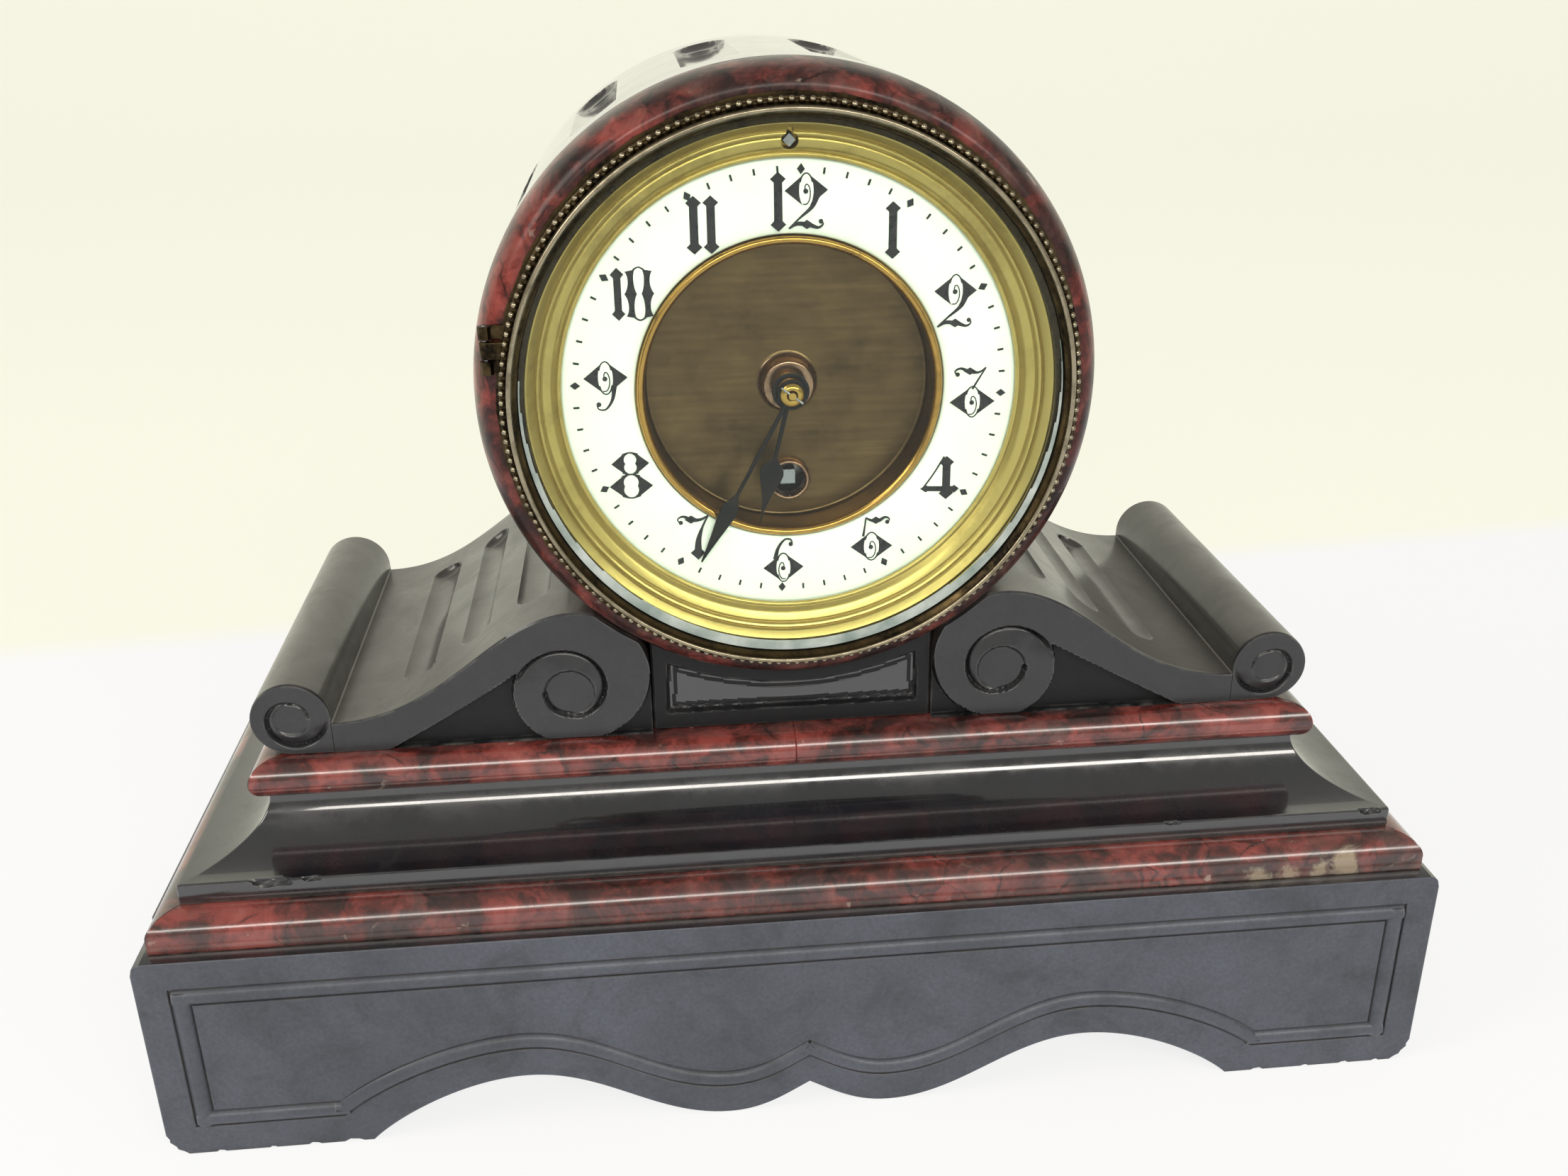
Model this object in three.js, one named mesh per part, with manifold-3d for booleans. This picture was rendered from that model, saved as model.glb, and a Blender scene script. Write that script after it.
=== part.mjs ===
// A slate mantel clock: a moulded slate base with marble bands, two carved scrolls, and a drum that holds
// a round pendulum movement behind a hinged glass bezel.
// Millimetres, +Z up, X to the viewer's right, Y from the front to the back.
// Inside the clock group Y is a setback: zero at the plinth's front face, growing towards the back.
// Inside the dial group Z is counted from the drum's axis.

import * as THREE from 'three';
import { mergeVertices } from 'three/addons/utils/BufferGeometryUtils.js';
import Module from 'manifold-3d';

const wasm = await Module();
wasm.setup();

// Fits
const seatGap = 0.3;
const runningGap = 0.25;
const toolMargin = 1;
const rootLap = 0.5;
const tabLap = 1;

// Base
const overallWidth = 330;
const overallDepth = 139;
const plinthHeight = 59.3;
const plinthWall = 20;
const bedThickness = 18;
const footChamfer = 4.5;
const backInset = 3;
const footWidth = 51.5;
const archRise = 17;
const archApexX = 73;
const lobeX = 21;
const cuspRise = 8;
const borderMargin = 8;
const borderRise = 8.5;
const borderWidth = 5;
const quirkWidth = 1;
const quirkDepth = 0.9;
const borderFootStep = 6.5;

// Marble bands and the hollow moulding between them
const lowerBandInset = 3.7;
const lowerBandHeight = 9.1;
const lowerBandUpright = 4;
const lowerBandShoulder = 6.7;
const bandThickness = 14;
const cavettoInset = 10.9;
const cavettoFillet = 5.6;
const cavettoHeight = 12.3;
const cavettoReach = 19.8;
const upperBandInset = 26.9;
const upperBandHeight = 9.7;
const upperBandThickness = 17;

// Scrolls
const scrollSetback = 33.5;
const scrollInnerX = 36.5;
const voluteX = 54.5;
const voluteRadius = 18;
const voluteLift = 17.4;
const rollX = 126.9;
const rollRadius = 9.84;
const valleyLift = 8.2;
const ribbonFootX = 100;
const ribbonEndX = 65.3;
const ribbonEndLift = 22;
const spandrelToe = 57.5;
const ribbonFootPull = [8, 2];
const ribbonEndPull = [10.7, 5.5];
const voluteTopPull = [2.2, 5];
const voluteToePull = [1.7, 7];
const spandrelDepth = 2.5;
const ribbonTopPull = 0.345;
const ribbonValleyPull = 0.465;
const ribbonFlutes = [0.19, 0.473, 0.733];
const ribbonFluteHalf = 4.6;
const ribbonFluteDepth = 2.1;
const ribbonFluteFront = 48.5;
const ribbonFluteBack = 124.5;

// Drum
const axisLift = 90.2;
const drumRadius = 74.2;
const drumWall = 9.7;
const ringFrontSetback = 27.2;
const ringBackSetback = 44;
const ringWideSetback = 40;
const ringShoulder = 5.7;
const fluteCount = 15;
const fluteStart = 12;
const fluteSpread = 10.4;
const fluteDepth = 2.3;
const fluteFront = 56;
const fluteBack = 125;
const chamberFloor = 2.5;
const chamberHalfWidth = 21.5;
const chamberFront = 85;
const chamberBack = 103;

// Dial
const panWall = 1;
const panFlange = 1.2;
const panFlangeReach = 3.7;
const panTubeLength = 18;
const dialPlateFront = 34.6;
const dialPlateThickness = 1.4;
const enamelThickness = 2.1;
const enamelLap = 1.1;
const enamelInner = 36.5;
const sightWidth = 9.5;
const sightThickness = 1;
const centreRim = 2;
const centreRimProud = 0.3;
const centreDepth = 9.8;
const centreSheet = 1.2;
const centreBossRadius = 6;
const centreBossProud = 4.5;
const grommetRadius = 4.7;
const grommetProud = 2.5;
const grommetLip = 0.6;
const windingHole = 4.1;
const dialFootRadius = 1.5;
const dialFootInset = 5;

// Bezel
const bezelWidth = 4.1;
const bezelFrontSetback = 20.4;
const bezelBackSetback = 25.8;
const glassThickness = 2;
const glassLip = 0.7;
const glassLipThickness = 1.2;
const bezelRidge = 2.2;
const bezelRidgeFall = 1;
const bezelEdge = 2.4;
const bezelHingeStandOff = 2;
const bezelHingeSetback = 25.9;
const bezelHingeLift = 14;
const knuckleRadius = 1.5;
const knuckleBore = 0.9;
const hingePinRadius = 0.6;
const bezelKnuckleLength = 4.4;
const panKnuckleLength = 3;

// Hands, set to the time shown
const minuteAngle = 208.5;
const hourAngle = 193.5;
const minuteHandShort = 6.4;
const minuteHandHub = 3.4;
const minuteLeafTip = 13.5;
const minuteLeafHeel = 4.5;
const minuteLeafHalf = 2.5;
const minuteHandSetback = 30.4;
const hourHandLength = 33.4;
const hourLeafStart = 19.5;
const hourLeafWide = 22.5;
const hourLeafHalf = 3.1;
const hourHubWidth = 1.7;
const handStemHalf = 0.5;
const hourHandSetback = 32.4;
const handThickness = 0.8;
const colletRadius = 2.8;
const colletLength = 1.4;
const colletPinRadius = 0.3;
const colletPinLength = 6.4;

// Movement frame
const plateInset = 7.2;
const plateThickness = 2;
const frontPlateSetback = 51;
const plateSpacing = 28;
const pillarRadius = 2.4;
const pillarInset = 6.2;
const pivotHole = 0.9;
const pivotRadius = 0.6;
const arborRadius = 0.7;
const wheelThickness = 1.2;
const centreWheelLevel = 2;
const thirdWheelLevel = 11;
const escapeWheelLevel = 20;
const barrelClearance = 2;
const greatWheelThickness = 2;
const rimWidth = 1.4;
const hubRadius = 3;
const armSpread = 0.22;

// Going train: tooth counts and modules
const barrelDrop = 24.3;
const greatTeeth = 60;
const intermediatePinion = 10;
const greatModule = 0.55;
const intermediateTeeth = 60;
const centrePinion = 10;
const intermediateModule = 0.46;
const centreTeeth = 72;
const thirdPinion = 6;
const centreModule = 0.4;
const thirdTeeth = 72;
const escapePinion = 6;
const thirdModule = 0.36;
const escapeTeeth = 36;
const escapeRadius = 10.5;
const escapeToothDepth = 1.7;
const escapeThickness = 1;
const escapeLift = 26;
const palletLift = 41;
const palletClearance = 1.2;
const palletOverhang = 0.4;
const palletWidth = 2.4;
const palletHeel = 1.2;
const anchorCrown = 2.4;
const anchorShoulder = 1.6;
const anchorHollow = 0.8;
const anchorWaist = 1.4;
const barrelRadius = 14.6;
const barrelWall = 1.2;
const barrelLength = 14.6;
const springTurns = 6;
const springStrip = 0.5;
const windingArborRadius = 3;
const windingSquare = 3.6;
const ratchetTeeth = 24;
const ratchetRadius = 8;
const ratchetToothDepth = 1.2;
const ratchetThickness = 1.7;
const squareRecess = 0.6;
const windingShoulder = 0.8;
const windingArborEnd = 1;
const clickRadius = 2;
const clickOut = 4;
const clickDown = 1;
const clickSpare = 1;
const pinionOverhang = 0.5;
const wheelArms = 4;

// Motion work
const cannonTeeth = 10;
const minuteTeeth = 30;
const minuteModule = 0.6;
const minutePinion = 8;
const hourTeeth = 32;
const hourModule = 0.6;
const minuteArborAngle = 150;
const centreArborRadius = 0.9;
const centreArborTip = 0.6;
const cannonPipeWall = 0.5;
const hourPipeWall = 0.6;
const hourPipeProud = 0.4;
const cannonLength = 2.6;
const minuteWheelStep = 0.6;
const hourWheelClearance = 1.2;
const minutePinionLap = 0.3;
const minutePinionProud = 0.4;
const studProud = 0.4;

// Pendulum and its regulation
const pendulumSetback = 92;
const rodRadius = 0.9;
const bobDrop = 115;
const bobRadius = 11;
const bobThickness = 8;
const bobEdgeHalf = 0.6;
const bobFlat = 2.75;
const springLength = 8;
const springWidth = 5;
const springThickness = 0.4;
const chopHeight = 3;
const chopWidth = 6;
const chopThickness = 3;
const crutchReach = 29;
const crutchPinX = 1.9;
const crutchPinRadius = 0.6;
const crutchPinPast = 2;
const crutchHead = 1.6;
const crutchHeadHalf = 1.4;
const crutchStemHalf = 0.8;
const crutchFork = 3;
const crutchForkHalf = 1;
const crutchClearance = 2;
const bridgeClearance = 1;
const bridgeThickness = 1.6;
const cockHalfWidth = 7;
const cockFoot = 2;
const cockLift = 3;
const cockHead = 3;
const cheekSpare = 2;
const cheekReach = 1;
const bridgeUp = 4;
const bridgeDown = 3;
const cheekThickness = 3.3;
const blockHeight = 8;
const blockDepth = 5;
const regulatorInset = 7.3;
const regulatorRadius = 1.2;
const regulatorSquare = 1.44;
const regulatorSquareLength = 3;
const regulatorKnob = 3;
const regulatorKnobLength = 2.75;

// Back of the case
const rearFlange = 1.2;
const rearLedge = 6.2;
const rearFlangeReach = 3;
const rearTubeLength = 10;
const coverLap = 2;
const coverThickness = 0.8;
const coverTabLap = 3;
const rearHingeStandOff = 3;
const rearKnuckleRadius = 1.2;
const rearKnuckleBore = 0.8;
const rearPinRadius = 0.5;
const rearKnuckleLength = 6;
const strapWidth = 8;
const strapThickness = 1.6;

// Facets of round work
const drumSteps = 60;
const fineSteps = 36;
const roundSteps = 20;
const smallSteps = 10;
const curveSteps = 5;
const wheelCurveSteps = 3;
const fluteSteps = 16;

// Levels and radii that follow from the sizes above
const halfWidth = overallWidth / 2;
const drumBackSetback = overallDepth - backInset;
const scrollBackSetback = overallDepth - backInset;
const lowerBandTop = plinthHeight + lowerBandHeight;
const filletTop = lowerBandTop + cavettoFillet;
const cavettoTop = filletTop + cavettoHeight;
const deckHeight = cavettoTop + upperBandHeight;
const axisHeight = deckHeight + axisLift;
const drumBore = drumRadius - drumWall;
const panOuter = drumBore - seatGap;
const panInner = panOuter - panWall;
const enamelFront = dialPlateFront - enamelThickness;
const dialPlateBack = dialPlateFront + dialPlateThickness;
const dialPlateRadius = panInner - seatGap;
const sightOuter = panInner - seatGap;
const sightInner = sightOuter - sightWidth;
const enamelOuter = sightInner + enamelLap;
const minuteHandLength = sightInner - minuteHandShort;
const minuteLeafWide = minuteHandLength - minuteLeafTip;
const minuteLeafStart = minuteLeafWide - minuteLeafHeel;
const regulatorLift = drumBore - regulatorInset;
const plateRadius = regulatorLift - plateInset;
const pillarReach = (plateRadius - pillarInset) / Math.SQRT2;
const rearOpening = panInner - rearLedge;
const coverRadius = rearOpening + coverLap;
const rearHingeX = coverRadius + rearHingeStandOff;
const panFlangeFront = ringFrontSetback - panFlange;
const centreRimFront = enamelFront - centreRimProud;
const centreFloor = centreRimFront + centreDepth;
const centreBack = centreFloor + centreSheet;
const glassRadius = panInner - seatGap;
const glassSeat = glassRadius + seatGap;
const bezelRadius = glassSeat + bezelWidth;
const hingeX = -bezelRadius - bezelHingeStandOff;
const plateFront = frontPlateSetback;
const plateBack = plateFront + plateThickness;
const rearPlateFront = plateBack + plateSpacing;
const rearPlateBack = rearPlateFront + plateThickness;
const boreRadius = arborRadius + runningGap;

// Solid tools: closed geometry in, closed geometry out

function solidOf(geometry) {
  const bare = geometry.clone();
  bare.deleteAttribute('normal');
  bare.deleteAttribute('uv');
  const merged = mergeVertices(bare, 1e-4);
  const points = merged.getAttribute('position');
  const order = merged.getIndex().array;
  const kept = [];
  let volume = 0;
  const a = new THREE.Vector3();
  const b = new THREE.Vector3();
  const c = new THREE.Vector3();
  for (let i = 0; i < order.length; i += 3) {
    const [p, q, r] = [order[i], order[i + 1], order[i + 2]];
    if (p === q || q === r || p === r) continue;
    kept.push([p, q, r]);
    a.fromBufferAttribute(points, p);
    b.fromBufferAttribute(points, q);
    c.fromBufferAttribute(points, r);
    volume += a.dot(b.cross(c));
  }
  const corners = kept.flatMap(([p, q, r]) => (volume < 0 ? [p, r, q] : [p, q, r]));
  return new wasm.Manifold(new wasm.Mesh({
    numProp: 3,
    vertProperties: new Float32Array(points.array),
    triVerts: new Uint32Array(corners),
  }));
}

function geometryOf(solid) {
  const mesh = solid.getMesh();
  const geometry = new THREE.BufferGeometry();
  geometry.setAttribute('position', new THREE.BufferAttribute(new Float32Array(mesh.vertProperties), 3));
  geometry.setIndex(new THREE.BufferAttribute(new Uint32Array(mesh.triVerts), 1));
  return geometry;
}

function join(...geometries) {
  return geometryOf(geometries.map(solidOf).reduce((whole, next) => whole.add(next)));
}

function cut(geometry, ...tools) {
  return geometryOf(tools.map(solidOf).reduce((whole, tool) => whole.subtract(tool), solidOf(geometry)));
}

function common(first, second) {
  return geometryOf(solidOf(first).intersect(solidOf(second)));
}

// Shape tools

// A box from its low corner to its high corner.
function box(x0, y0, z0, x1, y1, z1) {
  const geometry = new THREE.BoxGeometry(x1 - x0, y1 - y0, z1 - z0);
  return geometry.translate((x0 + x1) / 2, (y0 + y1) / 2, (z0 + z1) / 2);
}

// A flat outline in X and Z, given thickness from one setback to another.
function slab(shape, near, far, steps = curveSteps) {
  const geometry = new THREE.ExtrudeGeometry(shape, {
    depth: far - near,
    bevelEnabled: false,
    curveSegments: steps,
  });
  return geometry.rotateX(Math.PI / 2).translate(0, far, 0);
}

// A flat outline in Y and Z, given length from one X to another.
function bar(shape, left, right) {
  const geometry = new THREE.ExtrudeGeometry(shape, {
    depth: right - left,
    bevelEnabled: false,
    curveSegments: curveSteps,
  });
  return geometry.applyMatrix4(new THREE.Matrix4().set(0, 0, 1, left, 1, 0, 0, 0, 0, 1, 0, 0, 0, 0, 0, 1));
}

// A round hole for an outline.
function roundHole(radius, steps = smallSteps) {
  const points = [];
  for (let i = 0; i < steps; i += 1) {
    const angle = 2 * Math.PI * i / steps;
    points.push(new THREE.Vector2(radius * Math.cos(angle), radius * Math.sin(angle)));
  }
  return new THREE.Path(points);
}

function outline(points) {
  return new THREE.Shape(points.map(([x, y]) => new THREE.Vector2(x, y)));
}

// A ring or disc turned about a line along Y: points are radius and setback.
function turned(points, steps = roundSteps, x = 0, z = 0) {
  const profile = points.map(([radius, setback]) => new THREE.Vector2(radius, setback));
  return new THREE.LatheGeometry(profile, steps).translate(x, 0, z);
}

// A round bar along Y.
function rod(radius, near, far, x = 0, z = 0, steps = smallSteps) {
  return new THREE.CylinderGeometry(radius, radius, far - near, steps).translate(x, (near + far) / 2, z);
}

// A washer or tube along Y.
function tube(inner, outer, near, far, steps = roundSteps, x = 0, z = 0) {
  return turned([[inner, near], [outer, near], [outer, far], [inner, far], [inner, near]], steps, x, z);
}

// A round bar along Z.
function post(radius, x, y, low, high, steps = smallSteps) {
  return new THREE.CylinderGeometry(radius, radius, high - low, steps)
    .rotateX(Math.PI / 2)
    .translate(x, y, (low + high) / 2);
}

// Quarter of an ellipse from one point to another, leaving the first point along the named side.
function quarter(x0, y0, x1, y1, startsUpright, steps = curveSteps) {
  const points = [];
  for (let i = 0; i <= steps; i += 1) {
    const turn = (i / steps) * Math.PI / 2;
    const across = startsUpright ? 1 - Math.cos(turn) : Math.sin(turn);
    const along = startsUpright ? Math.sin(turn) : 1 - Math.cos(turn);
    points.push([x0 + (x1 - x0) * across, y0 + (y1 - y0) * along]);
  }
  return points;
}

// A long round-ended tool that scoops a flute along Y, its mouth level with Z zero.
function scoop(halfWide, depth, near, far) {
  const radius = (halfWide ** 2 + depth ** 2) / (2 * depth);
  return new THREE.CapsuleGeometry(radius, far - near - 2 * halfWide, fluteSteps / 4, fluteSteps)
    .translate(0, (near + far) / 2, radius - depth);
}

// Node list

const clock = new THREE.Group();
clock.position.y = -overallDepth / 2;
const dial = new THREE.Group();
dial.position.z = axisHeight;
clock.add(dial);

const finishes = {
  slate: { color: 0x2b2c2f, roughness: 0.55, metalness: 0 },
  marble: { color: 0x7c3129, roughness: 0.25, metalness: 0 },
  agedBrass: { color: 0x5d5138, roughness: 0.4, metalness: 1 },
  gilt: { color: 0xc8a850, roughness: 0.25, metalness: 1 },
  enamel: { color: 0xe9eedd, roughness: 0.12, metalness: 0 },
  glass: { color: 0xf2f6f4, roughness: 0.03, metalness: 0, transparent: true, opacity: 0.2 },
  blackSteel: { color: 0x17181b, roughness: 0.35, metalness: 0.8 },
  steel: { color: 0x9a9da1, roughness: 0.3, metalness: 1 },
  brass: { color: 0xb08d46, roughness: 0.32, metalness: 1 },
};

function add(group, name, geometry, finish) {
  const material = new THREE.MeshStandardMaterial(finishes[finish]);
  const mesh = new THREE.Mesh(geometryOf(solidOf(geometry)), material);
  mesh.name = name;
  group.add(mesh);
}

// Base

// The serpentine lower edge, left to right: a foot, an arch, a lobe, and a cusp in the middle.
function apronEdge(path, rise, footX) {
  const arch = archRise + rise;
  const footSpan = footX - archApexX;
  const archSpan = archApexX - lobeX;
  path.lineTo(-footX, rise);
  path.bezierCurveTo(-footX + 0.14 * footSpan, rise + 0.35 * archRise,
    -archApexX - 0.42 * footSpan, arch, -archApexX, arch);
  path.bezierCurveTo(-archApexX + 0.385 * archSpan, arch, -lobeX - 0.385 * archSpan, rise, -lobeX, rise);
  path.bezierCurveTo(-0.57 * lobeX, rise, -0.29 * lobeX, rise + 0.56 * cuspRise, 0, rise + cuspRise);
  path.bezierCurveTo(0.29 * lobeX, rise + 0.56 * cuspRise, 0.57 * lobeX, rise, lobeX, rise);
  path.bezierCurveTo(lobeX + 0.385 * archSpan, rise, archApexX - 0.385 * archSpan, arch, archApexX, arch);
  path.bezierCurveTo(archApexX + 0.42 * footSpan, arch,
    footX - 0.14 * footSpan, rise + 0.35 * archRise, footX, rise);
}

function plinthFace() {
  const shape = new THREE.Shape();
  shape.moveTo(-halfWidth, plinthHeight);
  shape.lineTo(-halfWidth, footChamfer);
  shape.lineTo(-halfWidth + footChamfer, 0);
  apronEdge(shape, 0, halfWidth - footWidth);
  shape.lineTo(halfWidth - footChamfer, 0);
  shape.lineTo(halfWidth, footChamfer);
  shape.lineTo(halfWidth, plinthHeight);
  return shape;
}

function borderOutline(Kind, margin, rise) {
  const path = new Kind();
  const side = halfWidth - margin;
  path.moveTo(-side, plinthHeight - margin);
  path.lineTo(-side, rise);
  apronEdge(path, rise, halfWidth - footWidth + borderFootStep);
  path.lineTo(side, rise);
  path.lineTo(side, plinthHeight - margin);
  return path;
}

// The border is a flush bead between two narrow grooves.
const quirks = [0, borderWidth - quirkWidth].map((step) => {
  const groove = borderOutline(THREE.Shape, borderMargin + step, borderRise + step);
  const inner = step + quirkWidth;
  groove.holes.push(borderOutline(THREE.Path, borderMargin + inner, borderRise + inner));
  return slab(groove, -quirkDepth, quirkDepth);
});
add(clock, 'plinth_front', cut(slab(plinthFace(), 0, plinthWall), ...quirks), 'slate');

const wallInner = halfWidth - plinthWall;
const wallBack = overallDepth - plinthWall;
add(clock, 'plinth_left', box(-halfWidth, plinthWall, 0, -wallInner, overallDepth, plinthHeight), 'slate');
add(clock, 'plinth_right', box(wallInner, plinthWall, 0, halfWidth, overallDepth, plinthHeight), 'slate');
add(clock, 'plinth_back', box(-wallInner, wallBack, 0, wallInner, overallDepth, plinthHeight), 'slate');
add(clock, 'plinth_bed',
  box(-wallInner, plinthWall, plinthHeight - bedThickness, wallInner, wallBack, plinthHeight), 'slate');

// A strip of moulding whose ends are mitred: its profile is inset and height, and place puts each end.
function mitredStrip(profile, place) {
  const geometry = new THREE.ExtrudeGeometry(outline(profile), { depth: 1, bevelEnabled: false });
  const points = geometry.getAttribute('position');
  for (let i = 0; i < points.count; i += 1) {
    const [x, y, z] = place(points.getX(i), points.getY(i), points.getZ(i) > 0.5);
    points.setXYZ(i, x, y, z);
  }
  return geometry;
}

const lowerBandBack = lowerBandInset + bandThickness;
const lowerProfile = [
  [lowerBandInset, plinthHeight],
  ...quarter(lowerBandInset, plinthHeight + lowerBandUpright,
    lowerBandInset + lowerBandShoulder, lowerBandTop, true),
  [lowerBandBack, lowerBandTop],
  [lowerBandBack, plinthHeight],
];
add(clock, 'lower_band_front', mitredStrip(lowerProfile, (inset, z, far) => (
  [(far ? 1 : -1) * (halfWidth - inset), inset, z])), 'marble');
const upperBandRound = upperBandHeight / 2;
const upperBandBack = upperBandInset + upperBandThickness;
const upperProfile = [
  ...quarter(upperBandInset + upperBandRound, cavettoTop, upperBandInset, cavettoTop + upperBandRound, false),
  ...quarter(upperBandInset, cavettoTop + upperBandRound,
    upperBandInset + upperBandRound, deckHeight, true).slice(1),
  [upperBandBack, deckHeight],
  [upperBandBack, cavettoTop],
];
for (const [side, hand] of [['left', -1], ['right', 1]]) {
  add(clock, `lower_band_${side}`, mitredStrip(lowerProfile, (inset, z, far) => (
    [hand * (halfWidth - inset), far ? overallDepth : inset, z])), 'marble');
  add(clock, `upper_band_front_${side}`, mitredStrip(upperProfile, (inset, z, far) => (
    [far ? 0 : hand * (halfWidth - inset), inset, z])), 'marble');
  add(clock, `upper_band_${side}`, mitredStrip(upperProfile, (inset, z, far) => (
    [hand * (halfWidth - inset), far ? overallDepth : inset, z])), 'marble');
}
add(clock, 'upper_band_core', box(upperBandBack - halfWidth, upperBandBack, cavettoTop,
  halfWidth - upperBandBack, overallDepth, deckHeight), 'slate');

// The hollow moulding: the same profile on the front and on both ends, with a tongue down behind the marble.
const cavettoProfile = [
  [lowerBandBack, plinthHeight],
  [lowerBandBack, lowerBandTop],
  [cavettoInset, lowerBandTop],
  ...quarter(cavettoInset, filletTop, cavettoInset + cavettoReach, cavettoTop, false),
];
const cavettoFront = outline([...cavettoProfile, [overallDepth, cavettoTop], [overallDepth, plinthHeight]]);
const cavettoLeft = cavettoProfile.map(([inset, z]) => [inset - halfWidth, z]);
const cavettoRight = cavettoProfile.map(([inset, z]) => [halfWidth - inset, z]).reverse();
add(clock, 'cavetto_block', common(
  bar(cavettoFront, -halfWidth, halfWidth),
  slab(outline([...cavettoLeft, ...cavettoRight]), 0, overallDepth),
), 'slate');

// Scrolls

const voluteZ = deckHeight + voluteLift;
const rollZ = deckHeight + rollRadius;
const valleyTurn = Math.PI - Math.asin((valleyLift - rollRadius) / rollRadius);
const valleyX = rollX + rollRadius * Math.cos(valleyTurn);
const valleyZ = deckHeight + valleyLift;

// The top of the ribbon, from the volute down to the valley beside the roll.
const ribbonSpan = valleyX - voluteX;
const ribbonTop = new THREE.CubicBezierCurve(
  new THREE.Vector2(voluteX, voluteZ + voluteRadius),
  new THREE.Vector2(voluteX + ribbonTopPull * ribbonSpan, voluteZ + voluteRadius),
  new THREE.Vector2(valleyX - ribbonValleyPull * ribbonSpan, valleyZ),
  new THREE.Vector2(valleyX, valleyZ),
);

// The whole side of the right scroll: volute, ribbon, valley and roll.
function scrollSide() {
  const shape = new THREE.Shape();
  shape.moveTo(scrollInnerX, deckHeight);
  shape.lineTo(scrollInnerX, voluteZ);
  shape.absarc(voluteX, voluteZ, voluteRadius, Math.PI, Math.PI / 2, true);
  shape.bezierCurveTo(ribbonTop.v1.x, ribbonTop.v1.y, ribbonTop.v2.x, ribbonTop.v2.y, valleyX, valleyZ);
  shape.absarc(rollX, rollZ, rollRadius, valleyTurn, -Math.PI / 2, true);
  shape.lineTo(scrollInnerX, deckHeight);
  return shape;
}

// The sunk ground under the ribbon, and the sunk corner inside the volute.
function spandrel() {
  const shape = new THREE.Shape();
  const ribbonEndZ = deckHeight + ribbonEndLift;
  shape.moveTo(ribbonFootX, deckHeight);
  shape.bezierCurveTo(ribbonFootX - ribbonFootPull[0], deckHeight + ribbonFootPull[1],
    ribbonEndX + ribbonEndPull[0], ribbonEndZ - ribbonEndPull[1], ribbonEndX, ribbonEndZ);
  shape.bezierCurveTo(ribbonEndX + voluteTopPull[0], ribbonEndZ - voluteTopPull[1],
    ribbonEndX + voluteToePull[0], deckHeight + voluteToePull[1], spandrelToe, deckHeight);
  return shape;
}

function voluteCorner() {
  const shape = new THREE.Shape();
  shape.moveTo(scrollInnerX - toolMargin, deckHeight - toolMargin);
  shape.lineTo(scrollInnerX - toolMargin, voluteZ);
  shape.lineTo(voluteX - voluteRadius, voluteZ);
  shape.absarc(voluteX, voluteZ, voluteRadius, Math.PI, 1.5 * Math.PI, false);
  shape.lineTo(voluteX, deckHeight - toolMargin);
  return shape;
}

function mirrored(shape) {
  return outline(shape.getPoints(curveSteps).map(({ x, y }) => [-x, y]));
}

// Flutes along the ribbon, each square to its slope.
function ribbonScoops(hand) {
  return ribbonFlutes.map((share) => {
    const top = ribbonTop.getPoint(share);
    const slope = ribbonTop.getTangent(share);
    return scoop(ribbonFluteHalf, ribbonFluteDepth, ribbonFluteFront, ribbonFluteBack)
      .rotateY(hand * Math.atan2(-slope.y, slope.x))
      .translate(hand * top.x, 0, top.y);
  });
}

const drumSocket = rod(drumRadius + seatGap, 0, overallDepth, 0, axisHeight, fineSteps);
for (const [side, hand, flip] of [['right', 1, (shape) => shape], ['left', -1, mirrored]]) {
  add(clock, `${side}_scroll`, cut(
    slab(flip(scrollSide()), scrollSetback, scrollBackSetback),
    slab(flip(spandrel()), scrollSetback - toolMargin, scrollSetback + spandrelDepth),
    slab(flip(voluteCorner()), scrollSetback - toolMargin, scrollSetback + spandrelDepth),
    ...ribbonScoops(hand),
    drumSocket,
  ), 'slate');
}

// Saddle under the drum, hollowed for the pendulum bob

const saddleHalf = scrollInnerX - seatGap;
const saddleTop = axisHeight - Math.sqrt(drumRadius ** 2 - saddleHalf ** 2) + toolMargin;
add(clock, 'saddle_block', cut(
  box(-saddleHalf, scrollSetback + spandrelDepth, deckHeight, saddleHalf, scrollBackSetback, saddleTop),
  box(-chamberHalfWidth, chamberFront, deckHeight + chamberFloor,
    chamberHalfWidth, chamberBack, saddleTop + toolMargin),
  drumSocket,
), 'slate');

// Drum: round-ended flutes are scooped out of it all round

function fluteTool(turn) {
  const half = THREE.MathUtils.degToRad(fluteSpread / 2);
  const mouth = drumRadius * Math.cos(half);
  return scoop(drumRadius * Math.sin(half), mouth - drumRadius + fluteDepth, fluteFront, fluteBack)
    .translate(0, 0, mouth)
    .rotateY(THREE.MathUtils.degToRad(turn));
}

const flutes = [];
for (let i = 0; i < fluteCount; i += 1) {
  flutes.push(fluteTool(fluteStart + 360 * i / fluteCount));
}
add(dial, 'drum_body', cut(
  tube(drumBore, drumRadius, ringBackSetback, drumBackSetback, drumSteps),
  box(-chamberHalfWidth, chamberFront, -drumRadius - toolMargin, chamberHalfWidth, chamberBack, 0),
  ...flutes,
), 'slate');
add(dial, 'drum_ring', turned([
  [drumBore, ringFrontSetback],
  ...quarter(drumRadius - ringShoulder, ringFrontSetback, drumRadius, ringWideSetback, false),
  [drumRadius, ringBackSetback],
  [drumBore, ringBackSetback],
  [drumBore, ringFrontSetback],
], fineSteps), 'marble');

// Dial

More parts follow.
